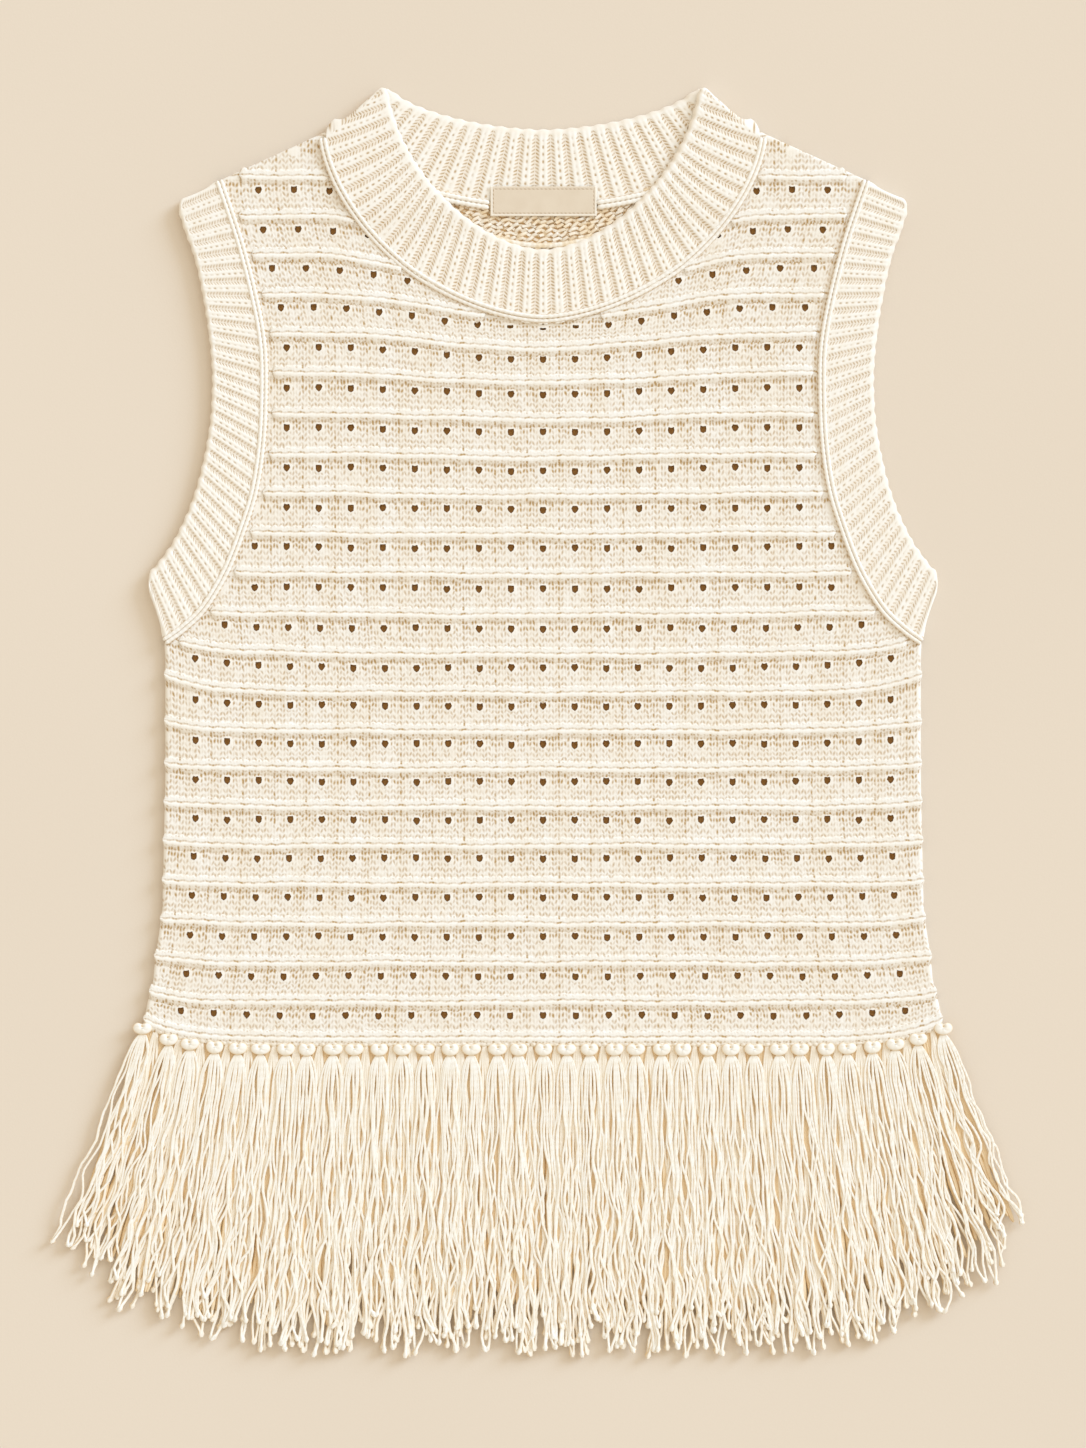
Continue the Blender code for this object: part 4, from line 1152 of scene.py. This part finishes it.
def fringe(facts):
    """All strands of a layer of the fringe, as paths from their loop to their tip.

    At a share s of a strand's length, its distance from the bundle's middle is its rank in
    the bundle times the dome's half width, plus a spread and waves that grow with s.
    """
    chance = np.random.default_rng(facts["seed"])
    shape = (facts["tassels"], facts["strands"], 1)
    x0 = tassel_x(facts["tassels"])[:, None, None]
    share = np.abs(x0) / CORNER_HALF_WIDTH
    y0 = row_y(HEM_Y, x0) - LOOP_DROP + facts["start"]
    rank = (np.arange(facts["strands"]) + 0.5) / facts["strands"] * 2.0 - 1.0
    rank = rank[None, :, None] + chance.uniform(-RANK_STRAY, RANK_STRAY, shape)
    pairs = (facts["tassels"], facts["strands"] // 2, 1)
    length = chance.uniform(1.0 - facts["short"], 1.0, pairs)
    shorter = chance.uniform(0, 1, pairs) < SHORTER["chance"]
    length = np.where(shorter, length - SHORTER["by"], length).repeat(2, 1) * facts["reach"]
    tip = TIP_Y + TIP_LIFT["height"] * share ** TIP_LIFT["power"]
    s = np.linspace(0.0, 1.0, facts["rings"] - 2) ** 1.25 * (1.0 - 2.0 * BEAD)
    s = np.append(s, (1.0 - BEAD, 1.0))
    fall = (y0 - tip) * length * s
    dome = (1.0 - (1.0 - np.minimum(fall / DOME["depth"], 1.0)) ** 2) ** DOME["power"]
    flare = np.sin(0.5 * np.pi * np.minimum(fall / DOME["flare_depth"], 1.0))
    half = facts["neck"] + facts["arch"] * dome + facts["flare"] * flare + SPREAD["even"] * s
    x = x0 + rank * half
    lean = np.sign(x) * LEAN["reach"] * (np.abs(x) / CORNER_HALF_WIDTH) ** LEAN["power"] * s**1.15
    stray = SPREAD["stray"] * facts["loose"] * chance.uniform(-1.0, 1.0, shape) * s**1.5
    waves = 0.0
    for size, cycles in STRAND_WAVES:
        rate = cycles * chance.uniform(0.7, 1.3, shape)
        phase = chance.uniform(0.0, 2.0 * np.pi, shape)
        height = facts["loose"] * size * chance.uniform(0.2, 1.0, shape)
        waves = waves + height * np.sin(2.0 * np.pi * rate * s + phase) * s**0.7
    x = x + lean + stray + waves
    ends = x[..., -1:].reshape(*pairs, 2).mean(-1).repeat(2, 1)
    x = x + (ends - x[..., -1:]) * s**FORK * facts["forked"]
    crown = facts["crown"] * np.sqrt(np.clip(1.0 - rank**2, 0.0, 1.0)) * dome
    level = facts["root_z"] + (facts["tip_z"] - facts["root_z"]) * s**0.8
    turn = 2.0 * np.pi * RIPPLE["cycles"] * s + chance.uniform(0.0, 6.28, shape)
    drift = chance.uniform(-RIPPLE["height"], RIPPLE["height"], shape)
    z = level + crown + drift * s + RIPPLE["height"] * np.sin(turn) * s
    y = y0 - fall + 0.0 * x
    radius = facts["radius"] * chance.uniform(*RADIUS_RANGE, shape) * (1.0 - facts["taper"] * s * s)
    radius[..., -2:] *= facts["tip"]
    radius[..., 0] *= ROOT_SIZE
    z = np.maximum(z, radius + FLOOR_GAP)
    points, faces, uv = tubes(np.stack([x, y, z], -1), radius, facts["sides"])
    return points, faces, uv + (facts["shade"], 0.0)


def yarn_material(name):
    """Cream two-ply yarn: u goes once round a strand from its side, plus its layer as a whole
    number, and v is the length in metres. Strands are tan at their sides and, seen from above,
    in lower layers.
    """
    material, shader, tree, _, u, v = yarn(name, YARN_ROUGHNESS)
    place = tree.here()
    tone = tree.noise(place, PATCH).ramp(*TONE)
    layer = (u + 0.0001).floor()
    top = ((u - layer) * (2.0 * np.pi)).sin()
    # Painted shade: tan at each strand's sides, and more on the upper faces of deeper layers
    below = 0.16 * layer * layer * top.ramp(-0.6, -0.2)
    shade = 0.70 * (1.0 - abs(top).ramp(0.0, 0.80)) + below
    ply = ((2.0 * u + v / PLY) * (2.0 * np.pi)).sin()
    cream = (0.8 * tone - 0.12 * ply + 0.12).mix(FRINGE_WARM, FRINGE_CREAM)
    colour = shade.math("MINIMUM", shade, 0.95).mix(cream, FRINGE_SHADE_TAN)
    wire(shader, colour, 0.5 * ply + 0.3 * tree.noise(place, FIBRE), YARN_BUMP)
    # Painted light: a faint warm glow, the same all over.
    shader.inputs["Emission Color"].default_value = FRINGE_GLOW["colour"]
    shader.inputs["Emission Strength"].default_value = FRINGE_GLOW["strength"]
    return material


fringe_yarn = yarn_material("fringe_yarn")
for values in zip(*FRINGES.values()):
    facts = dict(zip(FRINGES, values))
    strands = add_piece(facts["name"], fringe(facts), fringe_yarn, facts["nodes"])

# Loops: the head of each tassel, its yarns pulled tight round the hem into a small knob.
LOOP_SIZE = (0.0055, 0.0041, 0.0017)
LOOP_UP = 0.0006  # above its tassel
LOOP_Z = 0.0056
HEM_EDGE = {"z": 0.0039, "radius": 0.0018, "bump": 0.0036, "swell": 0.20}  # bound-off edge
HEM_EDGE |= {"steps": 420, "drift": 1.4, "drift_length": 0.0047}
LOOP_CLEFT = {"depth": 0.45, "width": 0.45}
# Its dark: how much painted shade fills the dimple
LOOP_DIMPLE = {"depth": 0.80, "dark": 0.95, "width": 0.0010, "up": 0.0009}
LOOP_LEVELS = (-75.0, -50.0, -25.0, 0.0, 20.0, 38.0, 52.0, 63.0, 71.0, 77.0, 82.0, 86.0)
LOOP_AROUND = 24
LOOP_RANGE = (0.92, 1.08)
DIMPLE_STRAY = 0.0009

level = np.radians(LOOP_LEVELS)[:, None]
around = np.linspace(0.0, 2.0 * np.pi, LOOP_AROUND + 1)[:-1]
cleft = 1.0 - LOOP_CLEFT["depth"] * np.exp(-(((around - 0.5 * np.pi) / LOOP_CLEFT["width"]) ** 2))
out = np.cos(level) ** 0.7 * cleft
loop_x = tassel_x(FRINGES["tassels"][0])[:, None, None]
chance = np.random.default_rng(21)
grow = chance.uniform(*LOOP_RANGE, loop_x.shape)
x = LOOP_SIZE[0] * grow * out * np.cos(around)
y = LOOP_SIZE[1] / grow * out * np.sin(around)
aside = chance.uniform(-DIMPLE_STRAY, DIMPLE_STRAY, loop_x.shape)
away = ((x - aside) ** 2 + (y - LOOP_DIMPLE["up"]) ** 2) / LOOP_DIMPLE["width"] ** 2
dimple = np.exp(-away) * (level > 0.0)
z = LOOP_SIZE[2] * np.sin(level) * (1.0 - LOOP_DIMPLE["depth"] * dimple)
places = loop_x + x, row_y(HEM_Y, loop_x) - LOOP_DROP + LOOP_UP + y, LOOP_Z + z
loops = np.stack(np.broadcast_arrays(*places), -1)
# Painted shade: the knobs turn tan round their lower rim and in the dimple.
turned = np.maximum(level, 0.0) * (1.0 - LOOP_DIMPLE["dark"] * dimple) / (2.0 * np.pi)
turned = np.concatenate([turned, turned[..., :1]], -1)
knobs = closed(loops, turned, (np.arange(LOOP_AROUND + 1) * 0.0007)[None, :])
hem_x = np.linspace(-hem_reach, hem_reach, HEM_EDGE["steps"])
hem_line = np.stack([hem_x, row_y(HEM_Y, hem_x), 0.0 * hem_x + HEM_EDGE["z"]], -1)
drift = HEM_EDGE["drift"] * np.sin(hem_x / HEM_EDGE["drift_length"])
beat = 2.0 * np.pi * hem_x / HEM_EDGE["bump"] + drift
bumps = HEM_EDGE["radius"] * (1.0 + HEM_EDGE["swell"] * np.sin(beat))
points, faces, uv = tubes(hem_line, bumps, CORD_SIDES)
# Painted shade, as on the fringe's lower layer
hem_edge = points, faces, uv + (1.0, 0.0)
tassel_loops = add_piece("tassel_loops", merged([knobs, hem_edge]), fringe_yarn)
